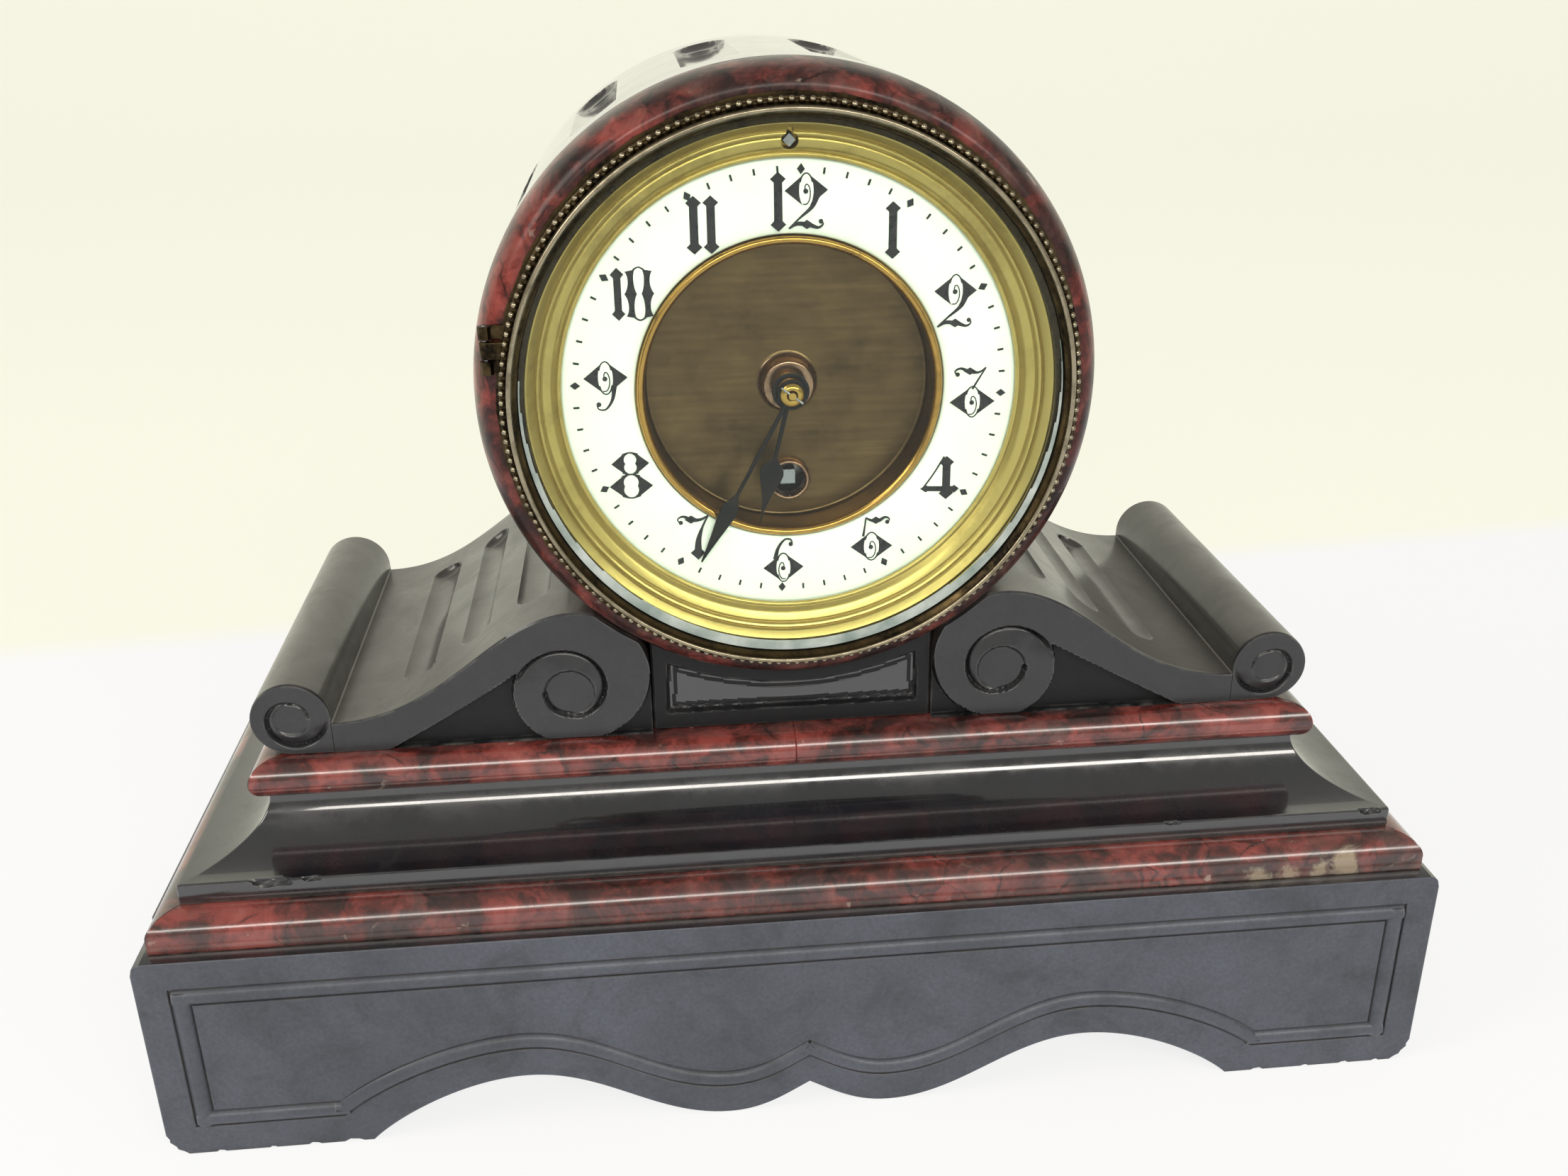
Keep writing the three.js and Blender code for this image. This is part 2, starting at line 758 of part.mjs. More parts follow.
const panKnuckleNear = bezelKnuckleLength / 2 + seatGap;
const panKnuckleFar = panKnuckleNear + panKnuckleLength;
const knuckleSpans = [[-panKnuckleFar, -panKnuckleNear], [panKnuckleNear, panKnuckleFar]];

// A hinge eye about the bezel's hinge line, with a tab that runs in to the ring that carries it.
function hingeEye(low, high, tabInner, tabNear, tabFar) {
  return [
    post(knuckleRadius, hingeX, bezelHingeSetback, bezelHingeLift + low, bezelHingeLift + high),
    box(hingeX, tabNear, bezelHingeLift + low, tabInner, tabFar, bezelHingeLift + high),
  ];
}

const hingeBore = post(knuckleBore, hingeX, bezelHingeSetback,
  bezelHingeLift - panKnuckleFar - toolMargin, bezelHingeLift + panKnuckleFar + toolMargin);
const flangeOuter = drumBore + panFlangeReach;
const tabSeat = -Math.sqrt(flangeOuter ** 2 - (bezelHingeLift + panKnuckleFar) ** 2) + tabLap;
const panRing = turned([
  [panInner, panFlangeFront],
  [flangeOuter, panFlangeFront],
  [flangeOuter, ringFrontSetback],
  [panOuter, ringFrontSetback],
  [panOuter, panFlangeFront + panTubeLength],
  [panInner, panFlangeFront + panTubeLength],
  [panInner, panFlangeFront],
], fineSteps);
const panEyes = knuckleSpans.flatMap(([low, high]) => (
  hingeEye(low, high, tabSeat, panFlangeFront, ringFrontSetback)));
add(dial, 'dial_pan', cut(join(panRing, ...panEyes), hingeBore), 'agedBrass');
add(dial, 'bezel_hinge_pin', post(hingePinRadius, hingeX, bezelHingeSetback,
  bezelHingeLift - panKnuckleFar, bezelHingeLift + panKnuckleFar), 'steel');

const sightFront = panFlangeFront + seatGap;
const sightBack = enamelFront - seatGap;
const regulatorHole = regulatorRadius + 3 * runningGap;
const regulatorTool = rod(regulatorHole, sightFront - toolMargin, sightBack + toolMargin, 0, regulatorLift);
add(dial, 'sight_ring', cut(turned([
  [sightInner, sightBack - sightThickness],
  [sightOuter - sightThickness, sightFront],
  [sightOuter, sightFront],
  [sightOuter, sightFront + sightThickness],
  [sightInner + sightThickness, sightBack],
  [sightInner, sightBack],
  [sightInner, sightBack - sightThickness],
], fineSteps), regulatorTool), 'gilt');
add(dial, 'enamel_ring', tube(enamelInner, enamelOuter, enamelFront, dialPlateFront, fineSteps), 'enamel');

const rimInner = enamelInner - seatGap - centreRim;
const wellOuter = rimInner + centreSheet;
const dialFeet = [90, 210, 330].map((turn) => {
  const angle = THREE.MathUtils.degToRad(turn + 180);
  const reach = plateRadius - dialFootInset;
  const [x, z] = [reach * Math.cos(angle), reach * Math.sin(angle)];
  return rod(dialFootRadius, dialPlateFront + rootLap, plateFront, x, z);
});
add(dial, 'dial_plate', cut(
  join(tube(wellOuter + seatGap, dialPlateRadius, dialPlateFront, dialPlateBack, fineSteps), ...dialFeet),
  rod(regulatorRadius + runningGap, dialPlateFront - toolMargin, dialPlateBack + toolMargin,
    0, regulatorLift),
), 'brass');

// The sunk brass centre: a rim against the enamel, a short wall and a flat floor with two holes.
const hourPipeInner = centreArborRadius + 2 * runningGap + cannonPipeWall + runningGap;
const hourPipeOuter = hourPipeInner + hourPipeWall;
const pipeHole = hourPipeOuter + runningGap;
const centreTurning = turned([
  [pipeHole, centreFloor - centreBossProud],
  [centreBossRadius, centreFloor - centreBossProud],
  [centreBossRadius, centreFloor],
  [rimInner, centreFloor],
  [rimInner, centreRimFront],
  [rimInner + centreRim, centreRimFront],
  [rimInner + centreRim, dialPlateFront],
  [wellOuter, dialPlateFront],
  [wellOuter, centreBack],
  [pipeHole, centreBack],
  [pipeHole, centreFloor - centreBossProud],
], fineSteps);
const grommetSeat = rod(grommetRadius + seatGap, centreFloor - toolMargin, centreBack + toolMargin,
  0, -barrelDrop, roundSteps);
add(dial, 'centre_disc', cut(centreTurning, grommetSeat), 'agedBrass');
add(dial, 'winding_grommet', turned([
  [windingHole, centreFloor - grommetProud],
  [grommetRadius + grommetLip, centreFloor - grommetProud],
  [grommetRadius + grommetLip, centreFloor],
  [grommetRadius, centreFloor],
  [grommetRadius, centreBack],
  [windingHole, centreBack],
  [windingHole, centreFloor - grommetProud],
], roundSteps, 0, -barrelDrop), 'brass');

// Bezel: a ring with a front ridge, hung on its hinge, with the glass against a lip behind

const lipFront = bezelBackSetback - glassLipThickness;
const ridgeOuter = glassSeat + bezelRidge;
const bezelRing = turned([
  [glassSeat - glassLip, lipFront],
  [glassSeat, lipFront],
  [glassSeat, bezelFrontSetback + bezelRidgeFall],
  [glassSeat + 0.5 * bezelRidge, bezelFrontSetback],
  [ridgeOuter, bezelFrontSetback + bezelRidgeFall],
  [bezelRadius, bezelBackSetback - bezelEdge],
  [bezelRadius, bezelBackSetback],
  [glassSeat - glassLip, bezelBackSetback],
  [glassSeat - glassLip, lipFront],
], fineSteps);
const bezelTab = -Math.sqrt(bezelRadius ** 2 - (bezelHingeLift + bezelKnuckleLength) ** 2) + tabLap;
const bezelEye = hingeEye(-bezelKnuckleLength / 2, bezelKnuckleLength / 2, bezelTab,
  bezelHingeSetback - knuckleRadius, bezelBackSetback);
add(dial, 'bezel_frame', cut(join(bezelRing, ...bezelEye), hingeBore), 'agedBrass');
add(dial, 'bezel_glass', turned([
  [0, lipFront - glassThickness],
  [glassRadius - glassThickness, lipFront - glassThickness],
  [glassRadius, lipFront - 0.4 * glassThickness],
  [glassRadius, lipFront],
  [0, lipFront],
], fineSteps), 'glass');

// Hands: outlines point up from the centre and are then turned to the time

function handShape(length, hub, stem, leaf, leafStart, leafWide, bore) {
  const shape = new THREE.Shape();
  const neck = Math.asin(stem / hub);
  shape.moveTo(stem, hub * Math.cos(neck));
  shape.lineTo(stem, leafStart);
  shape.quadraticCurveTo(leaf, leafStart, leaf, leafWide);
  shape.quadraticCurveTo(stem, (leafWide + length) / 2, 0, length);
  shape.quadraticCurveTo(-stem, (leafWide + length) / 2, -leaf, leafWide);
  shape.quadraticCurveTo(-leaf, leafStart, -stem, leafStart);
  shape.lineTo(-stem, hub * Math.cos(neck));
  shape.absarc(0, 0, hub, Math.PI / 2 + neck, Math.PI / 2 - neck + 2 * Math.PI, false);
  shape.holes.push(roundHole(bore));
  return shape;
}

function handTurn(geometry, degrees) {
  return geometry.rotateY(THREE.MathUtils.degToRad(degrees));
}

const cannonPipeInner = centreArborRadius + runningGap;
const cannonPipeOuter = cannonPipeInner + cannonPipeWall;
const hourHub = hourPipeOuter + hourHubWidth;
add(dial, 'hour_hand', handTurn(slab(
  handShape(hourHandLength, hourHub, handStemHalf, hourLeafHalf, hourLeafStart, hourLeafWide,
    hourPipeOuter + runningGap),
  hourHandSetback, hourHandSetback + handThickness), hourAngle), 'blackSteel');
add(dial, 'minute_hand', handTurn(slab(
  handShape(minuteHandLength, minuteHandHub, handStemHalf, minuteLeafHalf, minuteLeafStart, minuteLeafWide,
    cannonPipeOuter + runningGap),
  minuteHandSetback, minuteHandSetback + handThickness), minuteAngle), 'blackSteel');
const colletBack = minuteHandSetback - seatGap;
const colletFront = colletBack - colletLength;
const colletPin = new THREE.CylinderGeometry(colletPinRadius, colletPinRadius, colletPinLength, smallSteps)
  .rotateZ(Math.PI / 2)
  .translate(0, colletFront, 0);
add(dial, 'hand_collet', cut(
  join(tube(centreArborRadius, colletRadius, colletFront, colletBack), colletPin),
  rod(centreArborRadius + runningGap, colletFront - 2 * toolMargin, colletBack + toolMargin),
), 'brass');

// Toothed wheels

// Corners of one tooth: a share of half a pitch to each side of its middle, and a place from root to tip.
const wheelTooth = { addendum: 0.9, dedendum: 1.5, corners: [[-1, 0], [0, 1]] };
const leafTooth = { addendum: 0.5, dedendum: 1.3, corners: [[-0.4, 0], [-0.2, 1], [0.2, 1], [0.4, 0]] };
const slantTooth = { corners: [[-1, 0], [-0.4, 1]] };

function toothRing(kind, teeth, root, tip, phase) {
  const half = Math.PI / teeth;
  const points = [];
  for (let i = 0; i < teeth; i += 1) {
    for (const [share, rise] of kind.corners) {
      const angle = phase + (2 * i + share) * half;
      const radius = root + (tip - root) * rise;
      points.push([radius * Math.cos(angle), radius * Math.sin(angle)]);
    }
  }
  return points;
}

// The openings between the arms of a wheel.
function armWindows(arms, outer) {
  const windows = [];
  for (let i = 0; i < arms; i += 1) {
    const start = 2 * Math.PI * i / arms + armSpread;
    const end = 2 * Math.PI * (i + 1) / arms - armSpread;
    const corners = [[hubRadius, end - armSpread], [hubRadius, start + armSpread]];
    for (let step = 0; step <= wheelCurveSteps; step += 1) {
      corners.push([outer, start + (end - start) * step / wheelCurveSteps]);
    }
    windows.push(new THREE.Path(corners.map(([radius, angle]) => (
      new THREE.Vector2(radius * Math.cos(angle), radius * Math.sin(angle))))));
  }
  return windows;
}

// A wheel or pinion at a place, with a tooth or a gap on the line towards its mate.
function gear(kind, teeth, module, near, far, place, mate, toothFirst, opening = 0, crossings = 0) {
  const pitch = teeth * module / 2;
  const root = pitch - kind.dedendum * module;
  const towards = Math.atan2(mate[1] - place[1], mate[0] - place[0]);
  const phase = towards + (toothFirst ? 0 : Math.PI / teeth);
  const shape = outline(toothRing(kind, teeth, root, pitch + kind.addendum * module, phase));
  if (opening > 0) shape.holes.push(roundHole(opening, roundSteps));
  if (crossings > 0) shape.holes.push(...armWindows(crossings, root - rimWidth));
  return slab(shape, near, far).translate(place[0], 0, place[1]);
}

// Where two circles about known centres meet, on the named side of the line between them.
function meeting(first, firstReach, second, secondReach, hand) {
  const dx = second[0] - first[0];
  const dz = second[1] - first[1];
  const span = Math.hypot(dx, dz);
  const along = (span ** 2 + firstReach ** 2 - secondReach ** 2) / (2 * span);
  const off = hand * Math.sqrt(firstReach ** 2 - along ** 2);
  return [first[0] + (dx * along - dz * off) / span, first[1] + (dz * along + dx * off) / span];
}

const centrePlace = [0, 0];
const barrelPlace = [0, -barrelDrop];
const escapePlace = [0, escapeLift];
const palletPlace = [0, palletLift];
const intermediatePlace = meeting(
  centrePlace, (intermediateTeeth + centrePinion) * intermediateModule / 2,
  barrelPlace, (greatTeeth + intermediatePinion) * greatModule / 2, -1);
const thirdPlace = meeting(
  centrePlace, (centreTeeth + thirdPinion) * centreModule / 2,
  escapePlace, (thirdTeeth + escapePinion) * thirdModule / 2, -1);
const minuteReach = (cannonTeeth + minuteTeeth) * minuteModule / 2;
const minuteTurn = THREE.MathUtils.degToRad(minuteArborAngle);
const minutePlace = [minuteReach * Math.cos(minuteTurn), minuteReach * Math.sin(minuteTurn)];

// Levels of the train between the plates
const centreWheelNear = plateBack + centreWheelLevel;
const greatWheelNear = centreWheelNear + 2 * wheelThickness;
const greatWheelFar = greatWheelNear + greatWheelThickness;
const barrelFar = greatWheelFar + barrelLength;
const thirdWheelNear = plateBack + thirdWheelLevel;
const escapeWheelNear = plateBack + escapeWheelLevel;
const escapeWheelFar = escapeWheelNear + escapeThickness;
const intermediateWheelNear = barrelFar + barrelClearance;

// An arbor between the plates with thinner pivots in them.
function arbor(place) {
  return [
    rod(arborRadius, plateBack + runningGap, rearPlateFront - runningGap, ...place),
    rod(pivotRadius, plateFront, rearPlateBack, ...place),
  ];
}

const barrelCup = turned([
  [barrelRadius - barrelWall, greatWheelFar - rootLap],
  [barrelRadius, greatWheelFar - rootLap],
  [barrelRadius, barrelFar],
  [windingArborRadius + runningGap, barrelFar],
  [windingArborRadius + runningGap, barrelFar - barrelWall],
  [barrelRadius - barrelWall, barrelFar - barrelWall],
  [barrelRadius - barrelWall, greatWheelFar - rootLap],
], roundSteps, ...barrelPlace);
add(dial, 'barrel', join(
  gear(wheelTooth, greatTeeth, greatModule, greatWheelNear, greatWheelFar,
    barrelPlace, intermediatePlace, true, windingArborRadius + runningGap),
  barrelCup,
), 'brass');

// The mainspring: a flat strip wound between the arbor and the barrel wall.
function mainspring() {
  const inner = windingArborRadius + 2 * runningGap;
  const outer = barrelRadius - barrelWall - 2 * runningGap - springStrip;
  const steps = springTurns * smallSteps;
  const edges = [[], []];
  for (let i = 0; i <= steps; i += 1) {
    const angle = 2 * Math.PI * springTurns * i / steps;
    const radius = inner + (outer - inner) * i / steps;
    edges[0].push([radius * Math.cos(angle), radius * Math.sin(angle)]);
    edges[1].unshift([(radius + springStrip) * Math.cos(angle), (radius + springStrip) * Math.sin(angle)]);
  }
  const near = greatWheelFar + seatGap;
  const far = barrelFar - barrelWall - seatGap;
  return slab(outline([...edges[0], ...edges[1]]), near, far).translate(barrelPlace[0], 0, barrelPlace[1]);
}

add(dial, 'mainspring', mainspring(), 'steel');

// The winding arbor with its key square in front and its ratchet against the front plate.
const ratchetFar = plateFront - seatGap;
const ratchetNear = ratchetFar - ratchetThickness;
const squareNear = centreFloor + squareRecess;
const windingJournal = windingArborRadius - windingShoulder;
const ratchetRoot = ratchetRadius - ratchetToothDepth;
const ratchetShape = outline(toothRing(slantTooth, ratchetTeeth, ratchetRoot, ratchetRadius, 0));
const squareFar = ratchetNear + rootLap;
const squareCorner = windingSquare / Math.SQRT2;
add(dial, 'winding_arbor', join(
  new THREE.CylinderGeometry(squareCorner, squareCorner, squareFar - squareNear, 4)
    .rotateY(Math.PI / 4)
    .translate(barrelPlace[0], (squareNear + squareFar) / 2, barrelPlace[1]),
  slab(ratchetShape, ratchetNear, ratchetFar).translate(barrelPlace[0], 0, barrelPlace[1]),
  rod(windingJournal, ratchetFar - rootLap, plateBack + runningGap + rootLap, ...barrelPlace),
  rod(windingArborRadius, plateBack + runningGap, barrelFar + windingArborEnd, ...barrelPlace),
  rod(windingJournal, barrelFar, rearPlateBack, ...barrelPlace),
), 'steel');

// The click, hung on a stud of the front plate, its beak just clear of the ratchet.
const clickPlace = [barrelPlace[0] + ratchetRadius + clickOut, barrelPlace[1] - ratchetRadius - clickDown];
const clickBeak = meeting(barrelPlace, ratchetRadius + seatGap, clickPlace, ratchetRadius + clickSpare, -1);
const clickShape = new THREE.Shape();
const clickTurn = Math.atan2(clickBeak[1] - clickPlace[1], clickBeak[0] - clickPlace[0]);
const clickLength = Math.hypot(clickBeak[0] - clickPlace[0], clickBeak[1] - clickPlace[1]);
clickShape.absarc(0, 0, clickRadius, -Math.PI / 3, -5 * Math.PI / 3, true);
clickShape.lineTo(clickLength, clickRadius);
clickShape.lineTo(clickLength, 0.2 * clickRadius);
clickShape.holes.push(roundHole(boreRadius));
add(dial, 'click', slab(clickShape, ratchetNear, ratchetFar)
  .rotateY(-clickTurn)
  .translate(clickPlace[0], 0, clickPlace[1]), 'steel');

add(dial, 'intermediate_wheel', join(
  ...arbor(intermediatePlace),
  gear(leafTooth, intermediatePinion, greatModule, greatWheelNear - pinionOverhang,
    greatWheelFar + pinionOverhang, intermediatePlace, barrelPlace, false),
  gear(wheelTooth, intermediateTeeth, intermediateModule, intermediateWheelNear,
    intermediateWheelNear + wheelThickness, intermediatePlace, centrePlace, true, 0, wheelArms),
), 'brass');
add(dial, 'centre_wheel', join(
  rod(centreArborRadius, colletFront - centreArborTip, rearPlateFront - runningGap, ...centrePlace),
  rod(pivotRadius, rearPlateFront - runningGap - rootLap, rearPlateBack, ...centrePlace),
  gear(leafTooth, centrePinion, intermediateModule, intermediateWheelNear - pinionOverhang,
    intermediateWheelNear + wheelThickness + pinionOverhang, centrePlace, intermediatePlace, false),
  gear(wheelTooth, centreTeeth, centreModule, centreWheelNear, centreWheelNear + wheelThickness,
    centrePlace, thirdPlace, true, 0, wheelArms),
), 'brass');
add(dial, 'third_wheel', join(
  ...arbor(thirdPlace),
  gear(leafTooth, thirdPinion, centreModule, centreWheelNear - pinionOverhang,
    centreWheelNear + wheelThickness + pinionOverhang, thirdPlace, centrePlace, false),
  gear(wheelTooth, thirdTeeth, thirdModule, thirdWheelNear, thirdWheelNear + wheelThickness,
    thirdPlace, escapePlace, true, 0, wheelArms),
), 'brass');
const escapeRoot = escapeRadius - escapeToothDepth;
const escapeShape = outline(toothRing(slantTooth, escapeTeeth, escapeRoot, escapeRadius, 0));
escapeShape.holes.push(...armWindows(wheelArms, escapeRoot - rimWidth));
add(dial, 'escape_wheel', join(
  ...arbor(escapePlace),
  gear(leafTooth, escapePinion, thirdModule, thirdWheelNear - pinionOverhang,
    thirdWheelNear + wheelThickness + pinionOverhang, escapePlace, thirdPlace, false),
  slab(escapeShape, escapeWheelNear, escapeWheelFar).translate(escapePlace[0], 0, escapePlace[1]),
), 'brass');

// Pallets on their arbor, which runs out through the back plate to the crutch
const crutchNear = rearPlateBack + crutchClearance;
const crutchFar = crutchNear + wheelThickness;
const bridgeNear = crutchFar + bridgeClearance;
const bridgeFar = bridgeNear + bridgeThickness;
const palletDrop = palletLift - escapeLift;
const palletReach = Math.sqrt(palletDrop ** 2 - escapeRadius ** 2);
const palletTurn = Math.asin(escapeRadius / palletDrop);
const palletFoot = [palletReach * Math.sin(palletTurn), -palletReach * Math.cos(palletTurn)];
const fromEscape = Math.hypot(palletFoot[0], palletFoot[1] + palletDrop);
const outwards = (escapeRadius + palletClearance) / fromEscape;
const palletX = outwards * palletFoot[0];
const palletZ = outwards * (palletFoot[1] + palletDrop) - palletDrop;
const anchorShape = new THREE.Shape();
anchorShape.moveTo(0, anchorCrown);
anchorShape.quadraticCurveTo(palletX, anchorShoulder, palletX + palletWidth, palletZ + palletHeel);
anchorShape.lineTo(palletX, palletZ);
anchorShape.quadraticCurveTo(0.55 * palletX, -anchorHollow, 0, -anchorWaist);
anchorShape.quadraticCurveTo(-0.55 * palletX, -anchorHollow, -palletX, palletZ);
anchorShape.lineTo(-palletX - palletWidth, palletZ + palletHeel);
anchorShape.quadraticCurveTo(-palletX, anchorShoulder, 0, anchorCrown);
const forkX = crutchPinX + crutchStemHalf;
const crutchRight = [
  [crutchHeadHalf, crutchHead],
  [crutchStemHalf, crutchFork - crutchReach],
  [forkX, crutchForkHalf - crutchReach],
  [forkX, -crutchForkHalf - crutchReach],
];
const crutchLeft = crutchRight.map(([x, z]) => [-x, z]).reverse();
const crutchShape = outline([...crutchRight, ...crutchLeft]);
const crutchPins = [-1, 1].map((hand) => rod(crutchPinRadius, crutchNear, pendulumSetback + crutchPinPast,
  hand * crutchPinX, palletLift - crutchReach));
add(dial, 'pallets', join(
  rod(arborRadius, plateBack + runningGap, bridgeNear - runningGap, ...palletPlace),
  rod(pivotRadius, plateFront, bridgeFar, ...palletPlace),
  slab(anchorShape, escapeWheelNear - palletOverhang, escapeWheelFar + palletOverhang)
    .translate(0, 0, palletLift),
  slab(crutchShape, crutchNear, crutchFar).translate(0, 0, palletLift),
  ...crutchPins,
), 'steel');

// Motion work between the front plate and the dial
const cannonFar = plateFront - runningGap;
const cannonNear = cannonFar - cannonLength;
const minuteNear = cannonNear + minuteWheelStep;
const minuteFar = minuteNear + wheelThickness;
const hourNear = cannonNear - hourWheelClearance - wheelThickness;
const hourFar = hourNear + wheelThickness;
add(dial, 'cannon_pinion', join(
  gear(leafTooth, cannonTeeth, minuteModule, cannonNear, cannonFar,
    centrePlace, minutePlace, true, cannonPipeInner),
  tube(cannonPipeInner, cannonPipeOuter, colletBack + seatGap, cannonFar, smallSteps),
), 'steel');
const minutePinionNear = hourNear - minutePinionProud;
add(dial, 'minute_wheel', join(
  gear(wheelTooth, minuteTeeth, minuteModule, minuteNear, minuteFar,
    minutePlace, centrePlace, false, boreRadius),
  gear(leafTooth, minutePinion, hourModule, minutePinionNear, minuteNear + minutePinionLap,
    minutePlace, centrePlace, false, boreRadius),
), 'brass');
add(dial, 'hour_wheel', join(
  gear(wheelTooth, hourTeeth, hourModule, hourNear, hourFar, centrePlace, minutePlace, true, hourPipeInner),
  tube(hourPipeInner, hourPipeOuter, hourHandSetback - hourPipeProud, hourFar),
), 'brass');

// Plates and pillars
const pillarPlaces = [[-1, -1], [1, -1], [1, 1], [-1, 1]].map(([x, z]) => [x * pillarReach, z * pillarReach]);
const holeNear = plateFront - toolMargin;
const holeFar = plateBack + toolMargin;
const pillarPivots = pillarPlaces.map((place) => (
  rod(pillarRadius / 2 + seatGap, holeNear, holeFar, ...place)));
const trainHoles = [intermediatePlace, thirdPlace, escapePlace, palletPlace].map((place) => (
  rod(pivotHole, holeNear, holeFar, ...place)));
const studs = [[minutePlace, minutePinionNear], [clickPlace, ratchetNear]].map(([place, near]) => (
  rod(arborRadius, near - studProud, plateFront + rootLap, ...place)));
add(dial, 'front_plate', cut(
  join(rod(plateRadius, plateFront, plateBack, 0, 0, fineSteps), ...studs),
  ...pillarPivots,
  ...trainHoles,
  rod(centreArborRadius + runningGap, holeNear, holeFar, ...centrePlace),
  rod(windingJournal + runningGap, holeNear, holeFar, ...barrelPlace, roundSteps),
), 'brass');
const toRear = rearPlateFront - plateFront;
add(dial, 'back_plate', cut(
  rod(plateRadius, rearPlateFront, rearPlateBack, 0, 0, fineSteps),
  ...pillarPivots.map((tool) => tool.clone().translate(0, toRear, 0)),
  ...trainHoles.map((tool) => tool.clone().translate(0, toRear, 0)),
  rod(pivotHole, holeNear + toRear, holeFar + toRear, ...centrePlace),
  rod(windingJournal + runningGap, holeNear + toRear, holeFar + toRear, ...barrelPlace, roundSteps),
  rod(2 * arborRadius + runningGap, holeNear + toRear, holeFar + toRear, ...palletPlace),
), 'brass');
pillarPlaces.forEach((place, i) => {
  add(dial, `pillar_${i + 1}`, join(
    rod(pillarRadius, plateBack, rearPlateFront, ...place),
    rod(pillarRadius / 2, plateFront, rearPlateBack, ...place),
  ), 'brass');
});

// Pendulum cock on the back plate: a foot, two cheeks, the pallet bridge and the regulator's bearing
const cheekInner = cockHalfWidth - cheekThickness;
const blockBase = palletLift + seatGap;
const cockBase = palletLift + cockLift;
const cockTop = regulatorLift + cockHead;
const cheekTop = blockBase + blockHeight + cheekSpare;
const cheekFar = pendulumSetback + blockDepth / 2 + cheekReach;
add(dial, 'pendulum_cock', cut(
  join(
    box(-cockHalfWidth, rearPlateBack, cockBase, cockHalfWidth, rearPlateBack + cockFoot, cockTop),
    box(-cockHalfWidth, rearPlateBack, cockBase, -cheekInner, cheekFar, cheekTop),
    box(cheekInner, rearPlateBack, cockBase, cockHalfWidth, cheekFar, cheekTop),
    box(-cockHalfWidth, bridgeNear, palletLift - bridgeDown, cockHalfWidth, bridgeFar, palletLift + bridgeUp),
    box(-cockHalfWidth, rearPlateBack, cheekTop - rootLap, cockHalfWidth, cheekFar, cockTop),
  ),
  rod(pivotHole, bridgeNear - toolMargin, bridgeFar + toolMargin, ...palletPlace),
  rod(regulatorRadius + runningGap, rearPlateBack - toolMargin, cheekFar + toolMargin, 0, regulatorLift),
), 'brass');
add(dial, 'suspension_block', box(-cheekInner + seatGap, pendulumSetback - blockDepth / 2, blockBase,
  cheekInner - seatGap, pendulumSetback + blockDepth / 2, blockBase + blockHeight), 'brass');
const knobNear = cheekFar + runningGap;
add(dial, 'regulating_arbor', join(
  rod(regulatorRadius, sightBack + rootLap, knobNear + rootLap, 0, regulatorLift),
  rod(regulatorKnob, knobNear, knobNear + regulatorKnobLength, 0, regulatorLift, roundSteps),
  new THREE.CylinderGeometry(regulatorSquare, regulatorSquare, regulatorSquareLength, 4)
    .translate(0, sightBack, regulatorLift),
), 'steel');

// Pendulum: a suspension spring between its chops, a rod, and a bob threaded on the rod
const springTop = palletLift - seatGap;
const chopTop = springTop - springLength;
const bobZ = palletLift - bobDrop;
const bobNear = pendulumSetback - bobThickness / 2;
const bobFar = pendulumSetback + bobThickness / 2;
add(dial, 'pendulum', join(
  box(-springThickness / 2, pendulumSetback - springWidth / 2, chopTop - rootLap,
    springThickness / 2, pendulumSetback + springWidth / 2, springTop),
  box(-chopThickness / 2, pendulumSetback - chopWidth / 2, chopTop - chopHeight,
    chopThickness / 2, pendulumSetback + chopWidth / 2, chopTop),
  post(rodRadius, 0, pendulumSetback, bobZ - bobRadius + rootLap, chopTop - rootLap),
), 'steel');
add(dial, 'pendulum_bob', cut(
  turned([
    [0, bobNear],
    ...quarter(bobFlat, bobNear, bobRadius, pendulumSetback - bobEdgeHalf, false, wheelCurveSteps),
    ...quarter(bobRadius, pendulumSetback + bobEdgeHalf, bobFlat, bobFar, true, wheelCurveSteps),
    [0, bobFar],
  ], roundSteps, 0, bobZ),
  post(rodRadius + runningGap, 0, pendulumSetback,
    bobZ - bobRadius - toolMargin, bobZ + bobRadius + toolMargin),
), 'brass');

// Back of the case: flanged ring, hinged cover, and the two straps that draw it to the dial pan
const rearFace = drumBackSetback + rearFlange;
const coverNear = rearFace + seatGap / 2;
const coverFar = coverNear + coverThickness;
const rearHingeSetback = coverNear + coverThickness / 2;
const coverEye = rearKnuckleLength / 2;
const rearGap = coverEye + seatGap;
const rearEyeSpans = [[-rearGap - rearKnuckleLength, -rearGap], [rearGap, rearGap + rearKnuckleLength]];
const rearHingeReach = rearGap + rearKnuckleLength;
const rearBore = post(rearKnuckleBore, rearHingeX, rearHingeSetback,
  -rearHingeReach - toolMargin, rearHingeReach + toolMargin);
const rearSocket = box(rearHingeX - rearKnuckleRadius - seatGap, drumBackSetback - toolMargin, -rearGap,
  rearHingeX + rearKnuckleRadius + seatGap, rearFace + toolMargin, rearGap);
add(dial, 'rear_bezel', cut(
  join(
    turned([
      [rearOpening, drumBackSetback],
      [panInner, drumBackSetback],
      [panInner, drumBackSetback - rearTubeLength],
      [panOuter, drumBackSetback - rearTubeLength],
      [panOuter, drumBackSetback],
      [drumBore + rearFlangeReach, drumBackSetback],
      [drumBore + rearFlangeReach, rearFace],
      [rearOpening, rearFace],
      [rearOpening, drumBackSetback],
    ], fineSteps),
    ...rearEyeSpans.map(([low, high]) => post(rearKnuckleRadius, rearHingeX, rearHingeSetback, low, high)),
  ),
  rearBore,
  rearSocket,
), 'agedBrass');
